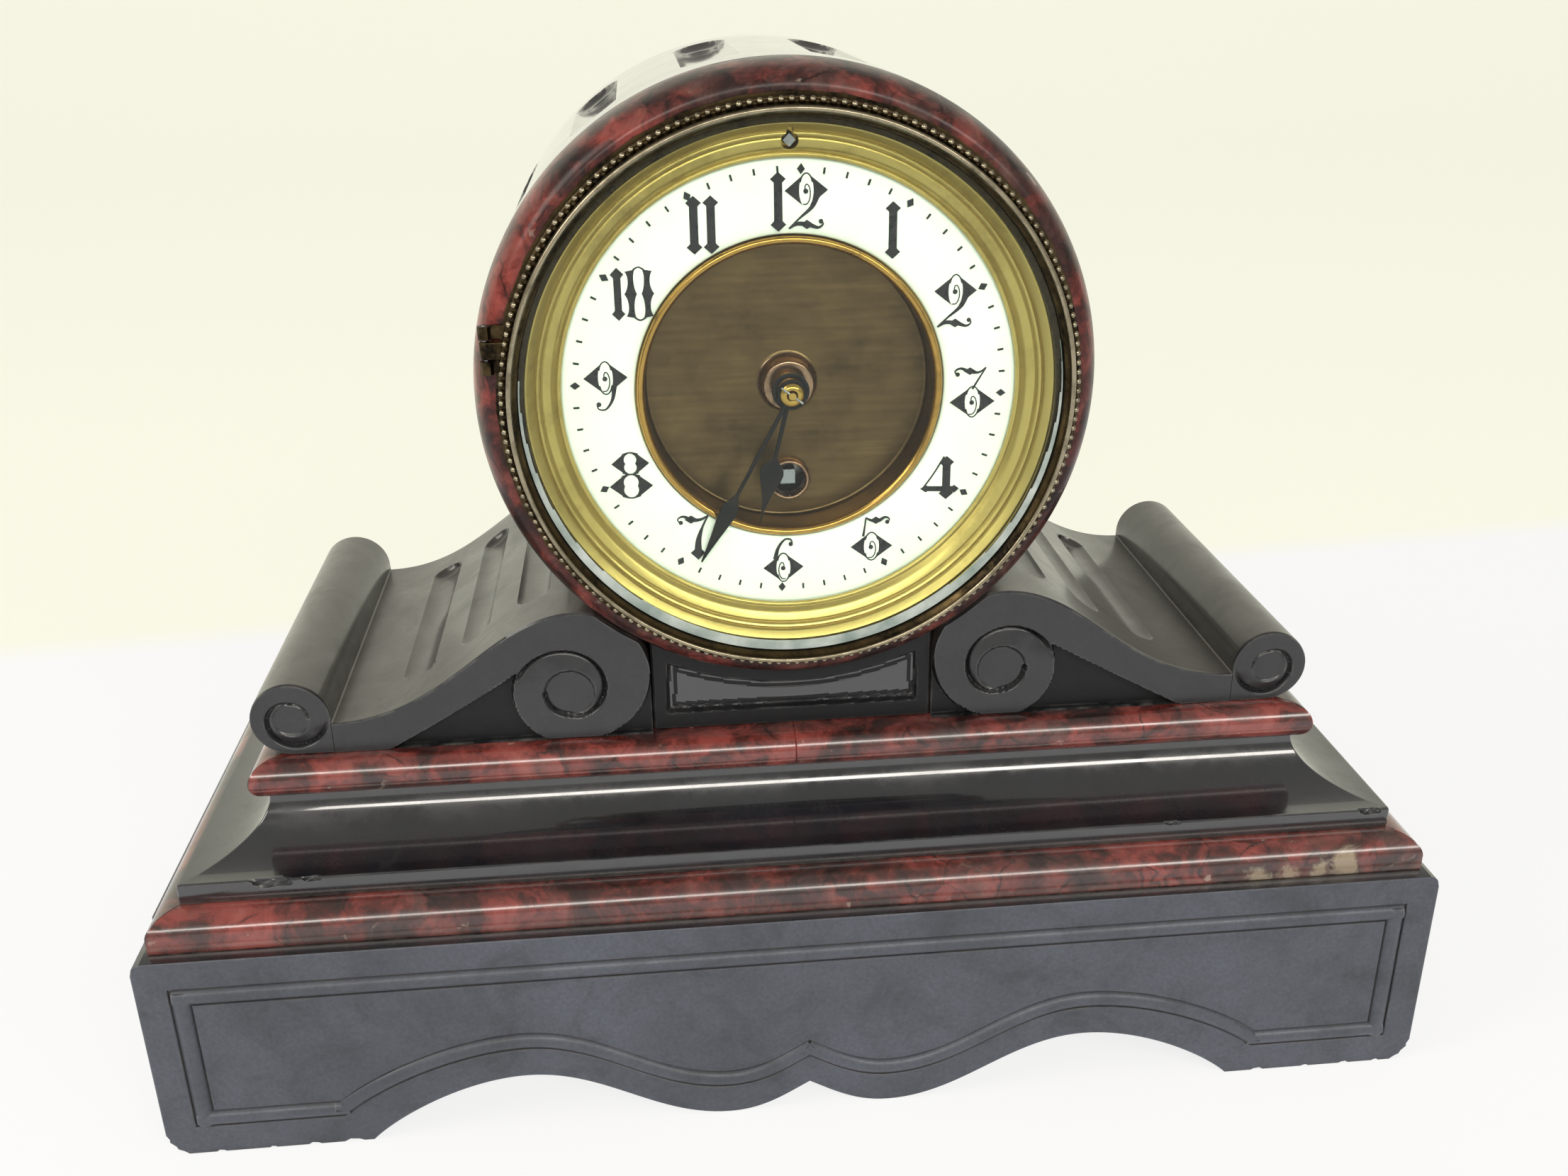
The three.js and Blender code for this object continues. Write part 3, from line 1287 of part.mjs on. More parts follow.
add(dial, 'rear_hinge_pin',
  post(rearPinRadius, rearHingeX, rearHingeSetback, -rearHingeReach, rearHingeReach), 'steel');
add(dial, 'rear_cover', cut(
  join(
    rod(coverRadius, coverNear, coverFar, 0, 0, fineSteps),
    box(coverRadius - coverTabLap, coverNear, -coverEye, rearHingeX, coverFar, coverEye),
    post(rearKnuckleRadius, rearHingeX, rearHingeSetback, -coverEye, coverEye),
  ),
  rearBore,
), 'brass');
const strapOuter = Math.sqrt((panInner - seatGap) ** 2 - (strapWidth / 2) ** 2);
for (const [side, hand] of [['left', -1], ['right', 1]]) {
  const edges = [hand * strapOuter, hand * (strapOuter - strapThickness)].sort((a, b) => a - b);
  add(dial, `strap_${side}`, box(edges[0], dialPlateBack + seatGap, -strapWidth / 2,
    edges[1], drumBackSetback - seatGap, strapWidth / 2), 'brass');
}

const mantelClock = new THREE.Group();
mantelClock.add(clock);

export default mantelClock;
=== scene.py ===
import math
import bmesh
import bpy
import numpy as np
from mathutils import Matrix, Vector


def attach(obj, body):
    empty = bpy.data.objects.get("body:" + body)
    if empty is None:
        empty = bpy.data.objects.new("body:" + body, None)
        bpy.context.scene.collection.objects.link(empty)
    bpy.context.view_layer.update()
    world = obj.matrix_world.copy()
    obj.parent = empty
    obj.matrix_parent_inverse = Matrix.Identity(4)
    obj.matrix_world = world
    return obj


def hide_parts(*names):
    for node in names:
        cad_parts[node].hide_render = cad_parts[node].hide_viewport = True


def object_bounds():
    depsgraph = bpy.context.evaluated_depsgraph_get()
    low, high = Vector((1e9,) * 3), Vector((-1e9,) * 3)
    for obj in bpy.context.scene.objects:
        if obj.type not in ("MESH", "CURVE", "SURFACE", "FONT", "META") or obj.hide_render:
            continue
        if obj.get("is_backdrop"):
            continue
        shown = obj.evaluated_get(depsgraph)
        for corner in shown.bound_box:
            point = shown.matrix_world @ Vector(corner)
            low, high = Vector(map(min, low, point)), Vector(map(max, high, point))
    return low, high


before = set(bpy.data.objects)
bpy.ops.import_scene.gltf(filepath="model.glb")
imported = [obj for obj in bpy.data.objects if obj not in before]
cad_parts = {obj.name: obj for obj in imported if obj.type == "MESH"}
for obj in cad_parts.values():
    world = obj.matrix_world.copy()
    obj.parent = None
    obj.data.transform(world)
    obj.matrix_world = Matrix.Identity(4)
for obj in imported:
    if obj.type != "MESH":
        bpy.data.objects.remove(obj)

cadBox = [list(corner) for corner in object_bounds()]
print("clock: frame loaded")

mm = 0.001
caseDepth = 139.0      # the plinth, front to back
halfWidth = 165.0
axisHeight = 186.2     # middle of the dial above the table


# front-view millimetres (x, how far behind the plinth front, height) to the part's metres
def place(x, setback, height):
    return Vector((x * mm, (setback - caseDepth / 2) * mm, height * mm))


def ink(hexColour):
    parts = [int(hexColour[i:i + 2], 16) / 255 for i in (1, 3, 5)]
    return tuple(c / 12.92 if c <= 0.04045 else ((c + 0.055) / 1.055) ** 2.4 for c in parts) + (1.0,)


# adds one node; a setting is a property, a ramp's stops, or an input given a socket, a hex colour or a value
def addNode(tree, kind, settings):
    node = tree.nodes.new(kind)
    inputs = {}
    for name, value in settings.items():
        if name == "stops":
            ramp = node.color_ramp.elements
            while len(ramp) < len(value):
                ramp.new(0.5)
            for stop, (at, colour) in zip(ramp, value):
                stop.position = at
                stop.color = ink(colour)
        elif isinstance(name, str) and hasattr(node, name):
            setattr(node, name, value)
        else:
            inputs[name] = value
    for name, value in inputs.items():
        if isinstance(value, bpy.types.NodeSocket):
            tree.links.new(value, node.inputs[name])
        else:
            node.inputs[name].default_value = ink(value) if isinstance(value, str) else value
    return node


def noise(tree, where, sizeMm, detail, rough=0.5, bend=0.0):      # for features of this size
    return addNode(tree, "ShaderNodeTexNoise",
                   {"Scale": 1000.0 / sizeMm, "Detail": detail, "Roughness": rough, "Distortion": bend,
                    "Vector": where}).outputs[0]


def ranged(tree, source, fromLow, fromHigh, low, high):
    ends = {0: source, 1: fromLow, 2: fromHigh, 3: low, 4: high}
    return addNode(tree, "ShaderNodeMapRange", ends).outputs[0]


def maths(tree, kind, *ends, clamp=False):
    settings = {"operation": kind, "use_clamp": clamp, **dict(enumerate(ends))}
    return addNode(tree, "ShaderNodeMath", settings).outputs[0]


def ramped(tree, source, *stops):
    return addNode(tree, "ShaderNodeValToRGB", {"stops": stops, 0: source}).outputs[0]


def blended(tree, share, under, over, kind="MIX"):
    return addNode(tree, "ShaderNodeMix", {"data_type": "RGBA", "blend_type": kind, 0: share, 6: under,
                                           7: over}).outputs[2]


def apart(tree, vector):
    return addNode(tree, "ShaderNodeSeparateXYZ", {0: vector}).outputs


# a fresh material with its shader, and the object coordinates every pattern here is laid out in
def startMaterial(name, **sockets):
    material = bpy.data.materials.new(name)
    material.use_nodes = True
    tree = material.node_tree
    tree.nodes.clear()
    shader = addNode(tree, "ShaderNodeBsdfPrincipled", {k.replace("_", " "): v for k, v in sockets.items()})
    addNode(tree, "ShaderNodeOutputMaterial", {"Surface": shader.outputs[0]})
    return material, tree, shader, addNode(tree, "ShaderNodeTexCoord", {}).outputs["Object"]


# joins a pattern to the shader: its colour, its roughness, and a relief of (height, strength, depth in mm)
def surfaced(tree, shader, colour, rough, relief=None):
    tree.links.new(colour, shader.inputs["Base Color"])
    tree.links.new(rough, shader.inputs["Roughness"])
    if relief:
        height, strength, deep = relief
        bump = addNode(tree, "ShaderNodeBump",
                       {"Strength": strength, "Distance": deep * mm, "Height": height})
        tree.links.new(bump.outputs[0], shader.inputs["Normal"])


# shows a second shader in place of the first by a share
def mixedOut(tree, share, first, second):
    mixed = addNode(tree, "ShaderNodeMixShader", {0: share, 1: first.outputs[0], 2: second.outputs[0]})
    out = next(n for n in tree.nodes if n.type == "OUTPUT_MATERIAL")
    tree.links.new(mixed.outputs[0], out.inputs["Surface"])


# the finishes


# black slate (a dense limestone), cut then honed or polished: near black, blue-grey where honed,
# with pale worn arrises, handling smears, fine grain and brown-grey dust where a cloth never reaches;
# where the corner colour is near black it is painted shade, and faces that look up get a film, partly dust
# and partly painted sheen
def slateFinish(name, dark, light, worn, dustAndShade, rough, grain, wax, soil, film=0.0, waxRough=0.16,
                dustAndSheenTone="#a39b8e", shine=0.5):
    material, tree, shader, coords = startMaterial(name, IOR=1.56, Coat_Weight=wax, Coat_Roughness=waxRough,
                                                   Coat_IOR=1.65, Specular_IOR_Level=shine)
    body = ramped(tree, noise(tree, coords, 38, 6.0, 0.62), (0.3, dark), (0.72, light))
    fine = noise(tree, coords, 1.1, 5.0, 0.7)
    colour = blended(tree, 1.0, body, ranged(tree, fine, 0.3, 0.75, 0.78, 1.28), "MULTIPLY")
    # old polish and soot in soft-edged stains
    stain = noise(tree, coords, 17, 7.0, 0.68, 0.6)
    colour = blended(tree, ranged(tree, stain, 0.48, 0.68, 0.0, soil), colour, "#1d1c1d")
    # rubbed arrises: where a rounded normal leaves the true one
    rounded = addNode(tree, "ShaderNodeBevel", {"samples": 4, "Radius": 0.8 * mm})
    true = addNode(tree, "ShaderNodeNewGeometry", {}).outputs["Normal"]
    alike = addNode(tree, "ShaderNodeVectorMath",
                    {"operation": "DOT_PRODUCT", 0: rounded.outputs[0], 1: true})
    patch = noise(tree, coords, 6, 4.0, 0.6)
    edge = ranged(tree, alike.outputs["Value"], 0.985, 0.86, 0.0, 1.0)
    rub = maths(tree, "MULTIPLY", edge, ranged(tree, patch, 0.42, 0.66, 0.0, 0.75))
    colour = blended(tree, rub, colour, worn)
    # dust in the corners; where the corner colour is near black it is painted shade in corners and recesses
    nook = addNode(tree, "ShaderNodeAmbientOcclusion", {"samples": 6, "Distance": 3 * mm}).outputs["AO"]
    dustAndShadeShare = maths(tree, "MULTIPLY", ranged(tree, nook, 0.8, 0.3, 0.0, 0.9),
                   ranged(tree, patch, 0.35, 0.62, 0.1, 1.0))
    colour = blended(tree, dustAndShadeShare, colour, dustAndShade)
    if film:      # faces that look up turn paler: partly a dust film, partly a painted sheen of the pale room
        level = ranged(tree, apart(tree, true)["Z"], 0.2, 0.95, 0.0, film)
        dustAndSheenShare = maths(tree, "MULTIPLY", level, ranged(tree, stain, 0.3, 0.7, 1.0, 0.55))
        colour = blended(tree, dustAndSheenShare, colour, dustAndSheenTone)
    # polish worn in patches, and smears from handling
    gloss = ranged(tree, stain, 0.34, 0.68, *rough)
    surfaced(tree, shader, colour, maths(tree, "MULTIPLY_ADD", dustAndShadeShare, 0.35, gloss, clamp=True),
             (fine, grain, 0.12))
    return material


# red griotte marble, polished: brick-red clouds that drift into brown and grey-black, dark hair cracks,
# small pale flecks and a few cream threads; no two lengths are cut from the same place
def griotteMarble(name, shift, patchMm=13.0, turn=0.0, red=0.0, healed=(), gloss=0.7, shine=0.5):
    material, tree, shader, coords = startMaterial(name, IOR=1.55, Coat_Weight=gloss, Coat_Roughness=0.12,
                                                   Specular_IOR_Level=shine)
    moved = addNode(tree, "ShaderNodeMapping", {0: coords, "Location": shift, "Rotation": (turn, 0.25, turn),
                                                "Scale": (0.9, 1.0, 0.9)}).outputs[0]
    stir = noise(tree, moved, 9, 4.0)
    stirred = addNode(tree, "ShaderNodeVectorMath",
                      {"operation": "MULTIPLY_ADD", 0: stir.node.outputs["Color"], 1: (0.008,) * 3,
                       2: moved}).outputs[0]

    def crackLines(sizeMm, wide, strong):
        cell = addNode(tree, "ShaderNodeTexVoronoi", {"feature": "DISTANCE_TO_EDGE", "Scale": 1000.0 / sizeMm,
                                                      "Vector": stirred})
        return ranged(tree, cell.outputs[0], 0.0, wide, strong, 0.0)

    cloud = noise(tree, stirred, patchMm, 8.0, 0.66, 0.4)
    body = ramped(tree, cloud, (0.32, "#251b19"), (0.43, "#43211e"), (0.48, "#622b26"), (0.56, "#823c36"),
                  (0.68, "#8e4a43"), (0.8, "#8d6c64"))
    smoke = noise(tree, stirred, 24, 7.0, 0.7)
    colour = blended(tree, ranged(tree, smoke, 0.44 + red, 0.6 + red, 0.0, 0.9), body,
                     ramped(tree, cloud, (0.36, "#191414"), (0.52, "#352725"), (0.68, "#58433d")))
    hair = maths(tree, "MULTIPLY", crackLines(15, 0.03, 0.85), ranged(tree, stir, 0.45, 0.6, 0.0, 1.0))
    colour = blended(tree, hair, colour, "#1a1110")
    threads = maths(tree, "MULTIPLY", crackLines(46, 0.009, 0.5), ranged(tree, smoke, 0.56, 0.66, 0.0, 1.0))
    fleck = noise(tree, stirred, 5, 3.0)
    pale = maths(tree, "MAXIMUM", threads, ranged(tree, fleck, 0.7, 0.76, 0.0, 0.7))
    colour = blended(tree, pale, colour, "#a8988c")
    for x, setback, height, size in healed:      # a healed break, filled with cream spar
        away = addNode(tree, "ShaderNodeVectorMath", {"operation": "DISTANCE", 0: coords,
                                                      1: place(x, setback, height)}).outputs["Value"]
        ragged = maths(tree, "MULTIPLY_ADD", cloud, 0.03, away)
        spar = ranged(tree, ragged, (size + 15.0) * mm, (size + 12.5) * mm, 0.0, 0.8)
        colour = blended(tree, spar, colour, "#9c8d77")
    surfaced(tree, shader, colour, ranged(tree, smoke, 0.35, 0.75, 0.2, 0.44),
             (maths(tree, "MULTIPLY_ADD", hair, -1.0, fleck), 0.14, 0.1))
    return material


# turned or cast brass; tarnish lies in patches and in the corners, rubbed edges stay bright
def brassFinish(name, bright, tarnished, cover, rough, patchMm, nookMm, rings=0.0, brushed=0.0):
    material, tree, shader, coords = startMaterial(name, Metallic=1.0)
    fine = noise(tree, coords, 0.9, 3.0)
    nook = addNode(tree, "ShaderNodeAmbientOcclusion", {"samples": 4, "Distance": nookMm * mm}).outputs["AO"]
    dirt = maths(tree, "MAXIMUM", ranged(tree, nook, 0.95, 0.35, 0.0, 0.75),
                 ranged(tree, noise(tree, coords, patchMm, 7.0, 0.66), *cover, 0.0, 1.0))
    mottled = maths(tree, "MULTIPLY", dirt, ranged(tree, fine, 0.3, 0.7, 0.75, 1.15), clamp=True)
    colour = blended(tree, mottled, bright, tarnished)
    if brushed:      # level strokes of an old cleaning
        drawn = addNode(tree, "ShaderNodeMapping", {0: coords, "Scale": (0.05, 1.0, 1.0)}).outputs[0]
        strokes = noise(tree, drawn, 1.6, 5.0, 0.7)
        colour = blended(tree, 1.0, colour, ranged(tree, strokes, 0.3, 0.7, 1.0 - brushed, 1.0 + brushed),
                         "MULTIPLY")
    height = fine
    if rings:      # fine turning rings round the dial's axis
        centred = addNode(tree, "ShaderNodeMapping", {0: coords, "Location": (0, 0, -axisHeight * mm),
                                                      "Scale": (1, 0, 1)}).outputs[0]
        turned = addNode(tree, "ShaderNodeTexWave", {"wave_type": "RINGS", "rings_direction": "SPHERICAL",
                                                     "Scale": 100.0, "Distortion": 0.0, "Vector": centred})
        height = maths(tree, "MULTIPLY_ADD", turned.outputs[1], rings, fine)
    surfaced(tree, shader, colour, ranged(tree, mottled, 0.0, 1.0, *rough), (height, 0.1, 0.05))
    return material


# vitreous enamel on copper, fired: glossy cream-white with a green cast, faintly uneven, finest pinholes
def firedEnamel():
    material, tree, shader, coords = startMaterial("fired_enamel", IOR=1.52, Coat_Weight=0.6,
                                                   Coat_Roughness=0.03)
    cloud = noise(tree, coords, 24, 4.0)
    pin = addNode(tree, "ShaderNodeTexVoronoi", {"Scale": 1000.0 / 5.5, "Vector": coords}).outputs["Distance"]
    tone = ramped(tree, cloud, (0.3, "#e7ede1"), (0.7, "#eff5eb"))
    surfaced(tree, shader, blended(tree, ranged(tree, pin, 0.012, 0.03, 0.45, 0.0), tone, "#8f8a78"),
             ranged(tree, cloud, 0.3, 0.7, 0.1, 0.2), (cloud, 0.06, 0.2))
    return material


# one clouded colour and gloss: the black paint fired into the enamel, the ground bevel of the glass
def cloudedFinish(name, sizeMm, detail, stops, rough, **sockets):
    material, tree, shader, coords = startMaterial(name, **sockets)
    cloud = noise(tree, coords, sizeMm, detail)
    surfaced(tree, shader, ramped(tree, cloud, *stops), ranged(tree, cloud, 0.3, 0.7, *rough))
    return material


# old sheet glass: clear, a breath of sea green; its index is low so that the pale table leaves the dial
# clear, and lamps shine through it
def clearGlass(tint="#f1f8f3"):
    material, tree, shader, coords = startMaterial("crown_glass", IOR=1.25, Transmission_Weight=1.0,
                                                   Base_Color=tint, Roughness=0.0)
    ripple = addNode(tree, "ShaderNodeBump", {"Strength": 0.02, "Distance": 0.3 * mm,
                                              "Height": noise(tree, coords, 40, 1.0)})
    tree.links.new(ripple.outputs[0], shader.inputs["Normal"])
    shadow = addNode(tree, "ShaderNodeLightPath", {}).outputs["Is Shadow Ray"]
    mixedOut(tree, shadow, shader, addNode(tree, "ShaderNodeBsdfTransparent", {"Color": tint}))
    return material


# steel, blacked or bright: file-fine grain and a little rust-brown in patches
def steelFinish(name, main, stain, metal, rough):
    material, tree, shader, coords = startMaterial(name, Metallic=metal)
    cloud = noise(tree, coords, 5, 6.0, 0.65)
    surfaced(tree, shader, ramped(tree, cloud, (0.42, main), (0.8, stain)),
             ranged(tree, cloud, 0.3, 0.7, *rough), (noise(tree, coords, 0.7, 2.0), 0.08, 0.05))
    return material


honedSlate = slateFinish("honed_slate", "#393d47", "#4a4f5b", "#77767a", "#3a3733", (0.4, 0.58), 0.3, 0.05,
                         0.38)
# carved slate: its near-black corner colour is painted shade in corners and recesses
carvedSlate = slateFinish("carved_slate", "#191b1e", "#27292d", "#7b7a77", "#0c0c0d", (0.26, 0.42), 0.22,
                          0.15, 0.4)
polishedSlate = slateFinish("polished_slate", "#101216", "#1b1e24", "#5c5b5a", "#57504a", (0.1, 0.42), 0.04,
                            1.0, 0.3, waxRough=0.06)
# drum and waxed slate: the pale film on faces that look up is partly dust, partly painted sheen
drumSlate = slateFinish("drum_slate", "#101113", "#1c1d20", "#5c5b5a", "#57504a", (0.1, 0.22), 0.04, 1.0, 0.3,
                        film=0.06, waxRough=0.06, dustAndSheenTone="#bfb7a8")
waxedSlate = slateFinish("waxed_slate", "#1f1e1d", "#2e2c2a", "#5c5b5a", "#57504a", (0.26, 0.44), 0.12, 0.45,
                         0.3, film=0.1)
# darker slate for deep carving and the saddle's front: a painted shade copy of the slate
shadedSlate = slateFinish("shaded_slate", "#0f1012", "#17191c", "#5f5e5c", "#0c0c0d", (0.36, 0.52), 0.06, 0.0,
                         0.4, shine=0.25)
bandMarble = griotteMarble("griotte_marble", (0.0, 0.0, 0.0),
                           healed=((117, 4, 60, 2), (126, 4, 60.5, 3), (133, 4, 61, 3), (141, 4, 62, 4),
                                   (127, 6, 67, 1.5)))
sideMarble = griotteMarble("griotte_marble_sides", (0.31, 0.17, 0.05), turn=0.7)
ringMarble = griotteMarble("griotte_marble_ring", (0.12, 0.43, 0.21), 9.0, 0.3, -0.04, gloss=0.0, shine=0.22)
bezelBrass = brassFinish("patinated_brass", "#5c4d33", "#1b1814", (0.36, 0.62), (0.28, 0.5), 9, 1.4)
beadBrass = brassFinish("pearled_brass", "#a29880", "#453d30", (0.46, 0.74), (0.26, 0.44), 7, 0.8)
giltBrass = brassFinish("gilt_brass", "#cab36c", "#7c6836", (0.5, 0.85), (0.36, 0.52), 18, 1.4)
panBrass = brassFinish("lacquered_brass", "#735e40", "#463828", (0.4, 0.75), (0.3, 0.42), 26, 5.0, 0.25, 0.22)
doorBrass = brassFinish("aged_brass", "#a88a52", "#6f582f", (0.42, 0.9), (0.26, 0.4), 22, 2.0)
rimBrass = brassFinish("rubbed_brass", "#c79b52", "#6b4f2a", (0.5, 0.8), (0.2, 0.36), 12, 1.2)
collarBrass = brassFinish("copper_brass", "#ab8a72", "#5f4a3c", (0.45, 0.8), (0.22, 0.4), 9, 1.0)
movementBrass = brassFinish("movement_brass", "#c9a558", "#a08246", (0.5, 0.85), (0.2, 0.36), 14, 1.5)
handSteel = steelFinish("blacked_steel", "#17181b", "#2d2620", 0.6, (0.3, 0.45))
brightSteel = steelFinish("bright_steel", "#a9aaad", "#6f675f", 1.0, (0.22, 0.36))
enamelWhite = firedEnamel()
numeralBlack = cloudedFinish("fired_black", 2.2, 4.0, ((0.3, "#0f0e13"), (0.75, "#262127")), (0.22, 0.4),
                             IOR=1.5)
glassClear = clearGlass()
glassEdge = cloudedFinish("ground_glass", 7, 6.0, ((0.35, "#8fa09b"), (0.7, "#cfd9d5")), (0.25, 0.45),
                          IOR=1.5, Transmission_Weight=0.15)
print("clock: materials made")


# the tools that shape them


def added(name, data):
    item = bpy.data.objects.new(name, data)
    bpy.context.collection.objects.link(item)
    return item


def meshPiece(name, mesh, *materials, sharp=32):
    mesh.name = name
    for material in materials:
        mesh.materials.append(material)
    smoothed(mesh, sharp)
    return added(name, mesh)


def smoothed(mesh, sharp=32):
    mesh.shade_smooth()
    mesh.set_sharp_from_angle(angle=math.radians(sharp))


def meshOf(points, faces, slots=None):
    mesh = bpy.data.meshes.new("mesh")
    mesh.from_pydata([tuple(p) for p in points], [], faces)
    if slots:
        mesh.polygons.foreach_set("material_index", slots)
    mesh.update()
    return mesh


# skin over rows of points, each row a closed ring, with flat ends
def lofted(rows):
    count, last = len(rows[0]), len(rows) - 1
    faces = []
    for row in range(last):
        for i in range(count):
            j = (i + 1) % count
            faces.append((row * count + i, row * count + j, (row + 1) * count + j, (row + 1) * count + i))
    faces += [tuple(reversed(range(count))), tuple(range(last * count, (last + 1) * count))]
    return meshOf([point for row in rows for point in row], faces)


# welds what lies closer than so many millimetres, drops slivers and turns the faces outward
def cleaned(mesh, weld=0.0, sliver=0.0):
    whole = bmesh.new()
    whole.from_mesh(mesh)
    if weld:
        bmesh.ops.remove_doubles(whole, verts=whole.verts, dist=weld * mm)
    if sliver:
        bmesh.ops.dissolve_degenerate(whole, edges=whole.edges, dist=sliver * mm)
    bmesh.ops.recalc_face_normals(whole, faces=whole.faces)
    whole.to_mesh(mesh)
    whole.free()
    return mesh


def settled(piece):      # the mesh as the modifiers leave it
    return bpy.data.meshes.new_from_object(piece.evaluated_get(bpy.context.evaluated_depsgraph_get()))


# gives one more material to the faces a rule picks
def faced(piece, material, rule):
    piece.data.materials.append(material)
    for face in piece.data.polygons:
        if rule(face):
            face.material_index = len(piece.data.materials) - 1


# joins pieces into one
def joined(name, pieces):
    whole = bmesh.new()
    materials = []
    for piece in pieces:
        start = len(whole.faces)
        whole.from_mesh(piece.data)
        whole.faces.ensure_lookup_table()
        for face in whole.faces[start:]:
            material = piece.data.materials[face.material_index]
            if material not in materials:
                materials.append(material)
            face.material_index = materials.index(material)
    mesh = bpy.data.meshes.new(name)
    whole.to_mesh(mesh)
    whole.free()
    for piece in pieces:
        bpy.data.objects.remove(piece)
    for material in materials:
        mesh.materials.append(material)
    return added(name, mesh)


# fillets the corners of a line; a corner is (x, y) or (x, y, radius)
def eased(corners, closed=True, steps=4):
    count = len(corners)
    line = []
    for i, corner in enumerate(corners):
        here = Vector(corner[:2])
        radius = corner[2] if len(corner) > 2 else 0
        if radius == 0 or (not closed and i in (0, count - 1)):
            line.append(tuple(here))
            continue
        before = Vector(corners[i - 1][:2]) - here
        after = Vector(corners[(i + 1) % count][:2]) - here
        reach = min(radius, 0.48 * before.length, 0.48 * after.length)      # leaves room for the next corner
        first, last = here + before.normalized() * reach, here + after.normalized() * reach
        for k in range(steps + 1):
            t = k / steps
            line.append(tuple(first * (1 - t) ** 2 + here * 2 * t * (1 - t) + last * t ** 2))
    return line


# points of a cubic curve, its start left out
def bent(start, pullA, pullB, end, steps):
    line = []
    for k in range(1, steps + 1):
        t = k / steps
        line.append(tuple(
            (1 - t) ** 3 * a + 3 * t * (1 - t) ** 2 * b + 3 * t * t * (1 - t) * c + t ** 3 * d
            for a, b, c, d in zip(start, pullA, pullB, end)))
    return line


def arc(middle, radius, fromDeg, toDeg, steps):
    angles = [math.radians(fromDeg + (toDeg - fromDeg) * k / steps) for k in range(steps + 1)]
    return [(middle[0] + radius * math.cos(a), middle[1] + radius * math.sin(a)) for a in angles]


# a quarter of an ellipse between two points; level says which end runs level
def quarter(start, end, level, steps):
    line = []
    for k in range(steps + 1):
        a = math.pi / 2 * k / steps
        u, v = (math.sin(a), 1 - math.cos(a)) if level == "start" else (1 - math.cos(a), math.sin(a))
        line.append((start[0] + (end[0] - start[0]) * u, start[1] + (end[1] - start[1]) * v))
    return line


# a ring turned about the dial's axis, or about one lifted above it, from (radius, setback) points
def turnedRing(name, line, material, steps=192, lift=0.0, closed=True, sharp=32):
    points, faces = [], []
    count = len(line)
    for k in range(steps):
        a = 2 * math.pi * k / steps
        high = axisHeight + lift
        points += [place(r * math.sin(a), setback, high + r * math.cos(a)) for r, setback in line]
        near, far = k * count, (k + 1) % steps * count
        for i in range(count if closed else count - 1):
            j = (i + 1) % count
            faces.append((near + i, far + i, far + j, near + j))
    return meshPiece(name, cleaned(meshOf(points, faces), 0.002), material, sharp=sharp)


# a curve of straight runs; each point is two or three numbers
def runsOf(name, runs, shape, closed=False):
    curve = bpy.data.curves.new(name, "CURVE")
    curve.dimensions = shape
    for run in runs:
        spline = curve.splines.new("POLY")
        spline.points.add(len(run) - 1)
        spline.points.foreach_set("co", [c for point in run for c in (*point, 0.0)[:3] + (1.0,)])
        spline.use_cyclic_u = closed
    return curve


# a flat piece cut to closed outlines in the front view (holes are inner outlines), arrises eased by soft
def cutSlab(name, outlines, front, back, soft, material, sharp=20):
    curve = runsOf(name, outlines, "2D", True)
    curve.fill_mode = "BOTH"
    curve.extrude = (back - front) / 2 - soft
    curve.bevel_depth = soft
    curve.bevel_resolution = 2
    curve.offset = -soft
    blank = added(name, curve)
    mesh = settled(blank)
    bpy.data.objects.remove(blank)
    for vertex in mesh.vertices:
        x, z, near = vertex.co
        vertex.co = place(x, (front + back) / 2 - near, z)
    return meshPiece(name, mesh, material, sharp=sharp)


# a squared block of stone or metal with eased arrises
def softBlock(name, low, high, soft, material):
    whole = bmesh.new()
    bmesh.ops.create_cube(whole, size=1.0)
    a, b = place(*low), place(*high)
    for vertex in whole.verts:
        vertex.co = Vector(a[i] + (b[i] - a[i]) * (vertex.co[i] + 0.5) for i in range(3))
    bmesh.ops.bevel(whole, geom=whole.edges[:], offset=soft * mm, segments=3, profile=0.5, affect="EDGES")
    mesh = bpy.data.meshes.new(name)
    whole.to_mesh(mesh)
    whole.free()
    return meshPiece(name, mesh, material)


# a round bar between two points in front-view millimetres, ends chamfered
def roundBar(name, start, end, radius, material, sides=24):
    a, b = place(*start), place(*end)
    axis = (b - a).normalized()
    across = axis.orthogonal().normalized()
    up = axis.cross(across)
    ease, small = axis * 0.15 * radius * mm, 0.85 * radius
    turns = [2 * math.pi * k / sides for k in range(sides)]
    rings = ((a, small), (a + ease, radius), (b - ease, radius), (b, small))
    rows = [[middle + (across * math.cos(t) + up * math.sin(t)) * size * mm for t in turns]
            for middle, size in rings]
    return meshPiece(name, lofted(rows), material)


# cuts one piece out of another and throws the cutter away
def cutAway(piece, cutter):
    knife = piece.modifiers.new("cut", "BOOLEAN")
    knife.object = cutter
    knife.operation = "DIFFERENCE"
    knife.solver = "EXACT"
    knife.material_mode = "TRANSFER"
    mesh = settled(piece)
    piece.modifiers.remove(knife)
    old = piece.data
    piece.data = mesh
    bpy.data.meshes.remove(old)
    bpy.data.objects.remove(cutter)
    mesh.name = piece.name
    smoothed(mesh)


# a new node tree for geometry, with a named input for each value
def newTree(name, values, takesGeometry=False):
    tree = bpy.data.node_groups.new(name, "GeometryNodeTree")
    ask = tree.interface.new_socket
    if takesGeometry:
        ask("Geometry", in_out="INPUT", socket_type="NodeSocketGeometry")
    for label, value in values.items():
        kind = "NodeSocketInt" if isinstance(value, int) else "NodeSocketFloat"
        ask(label, in_out="INPUT", socket_type=kind)
    ask("Geometry", in_out="OUTPUT", socket_type="NodeSocketGeometry")
    return tree, addNode(tree, "NodeGroupInput", {}).outputs


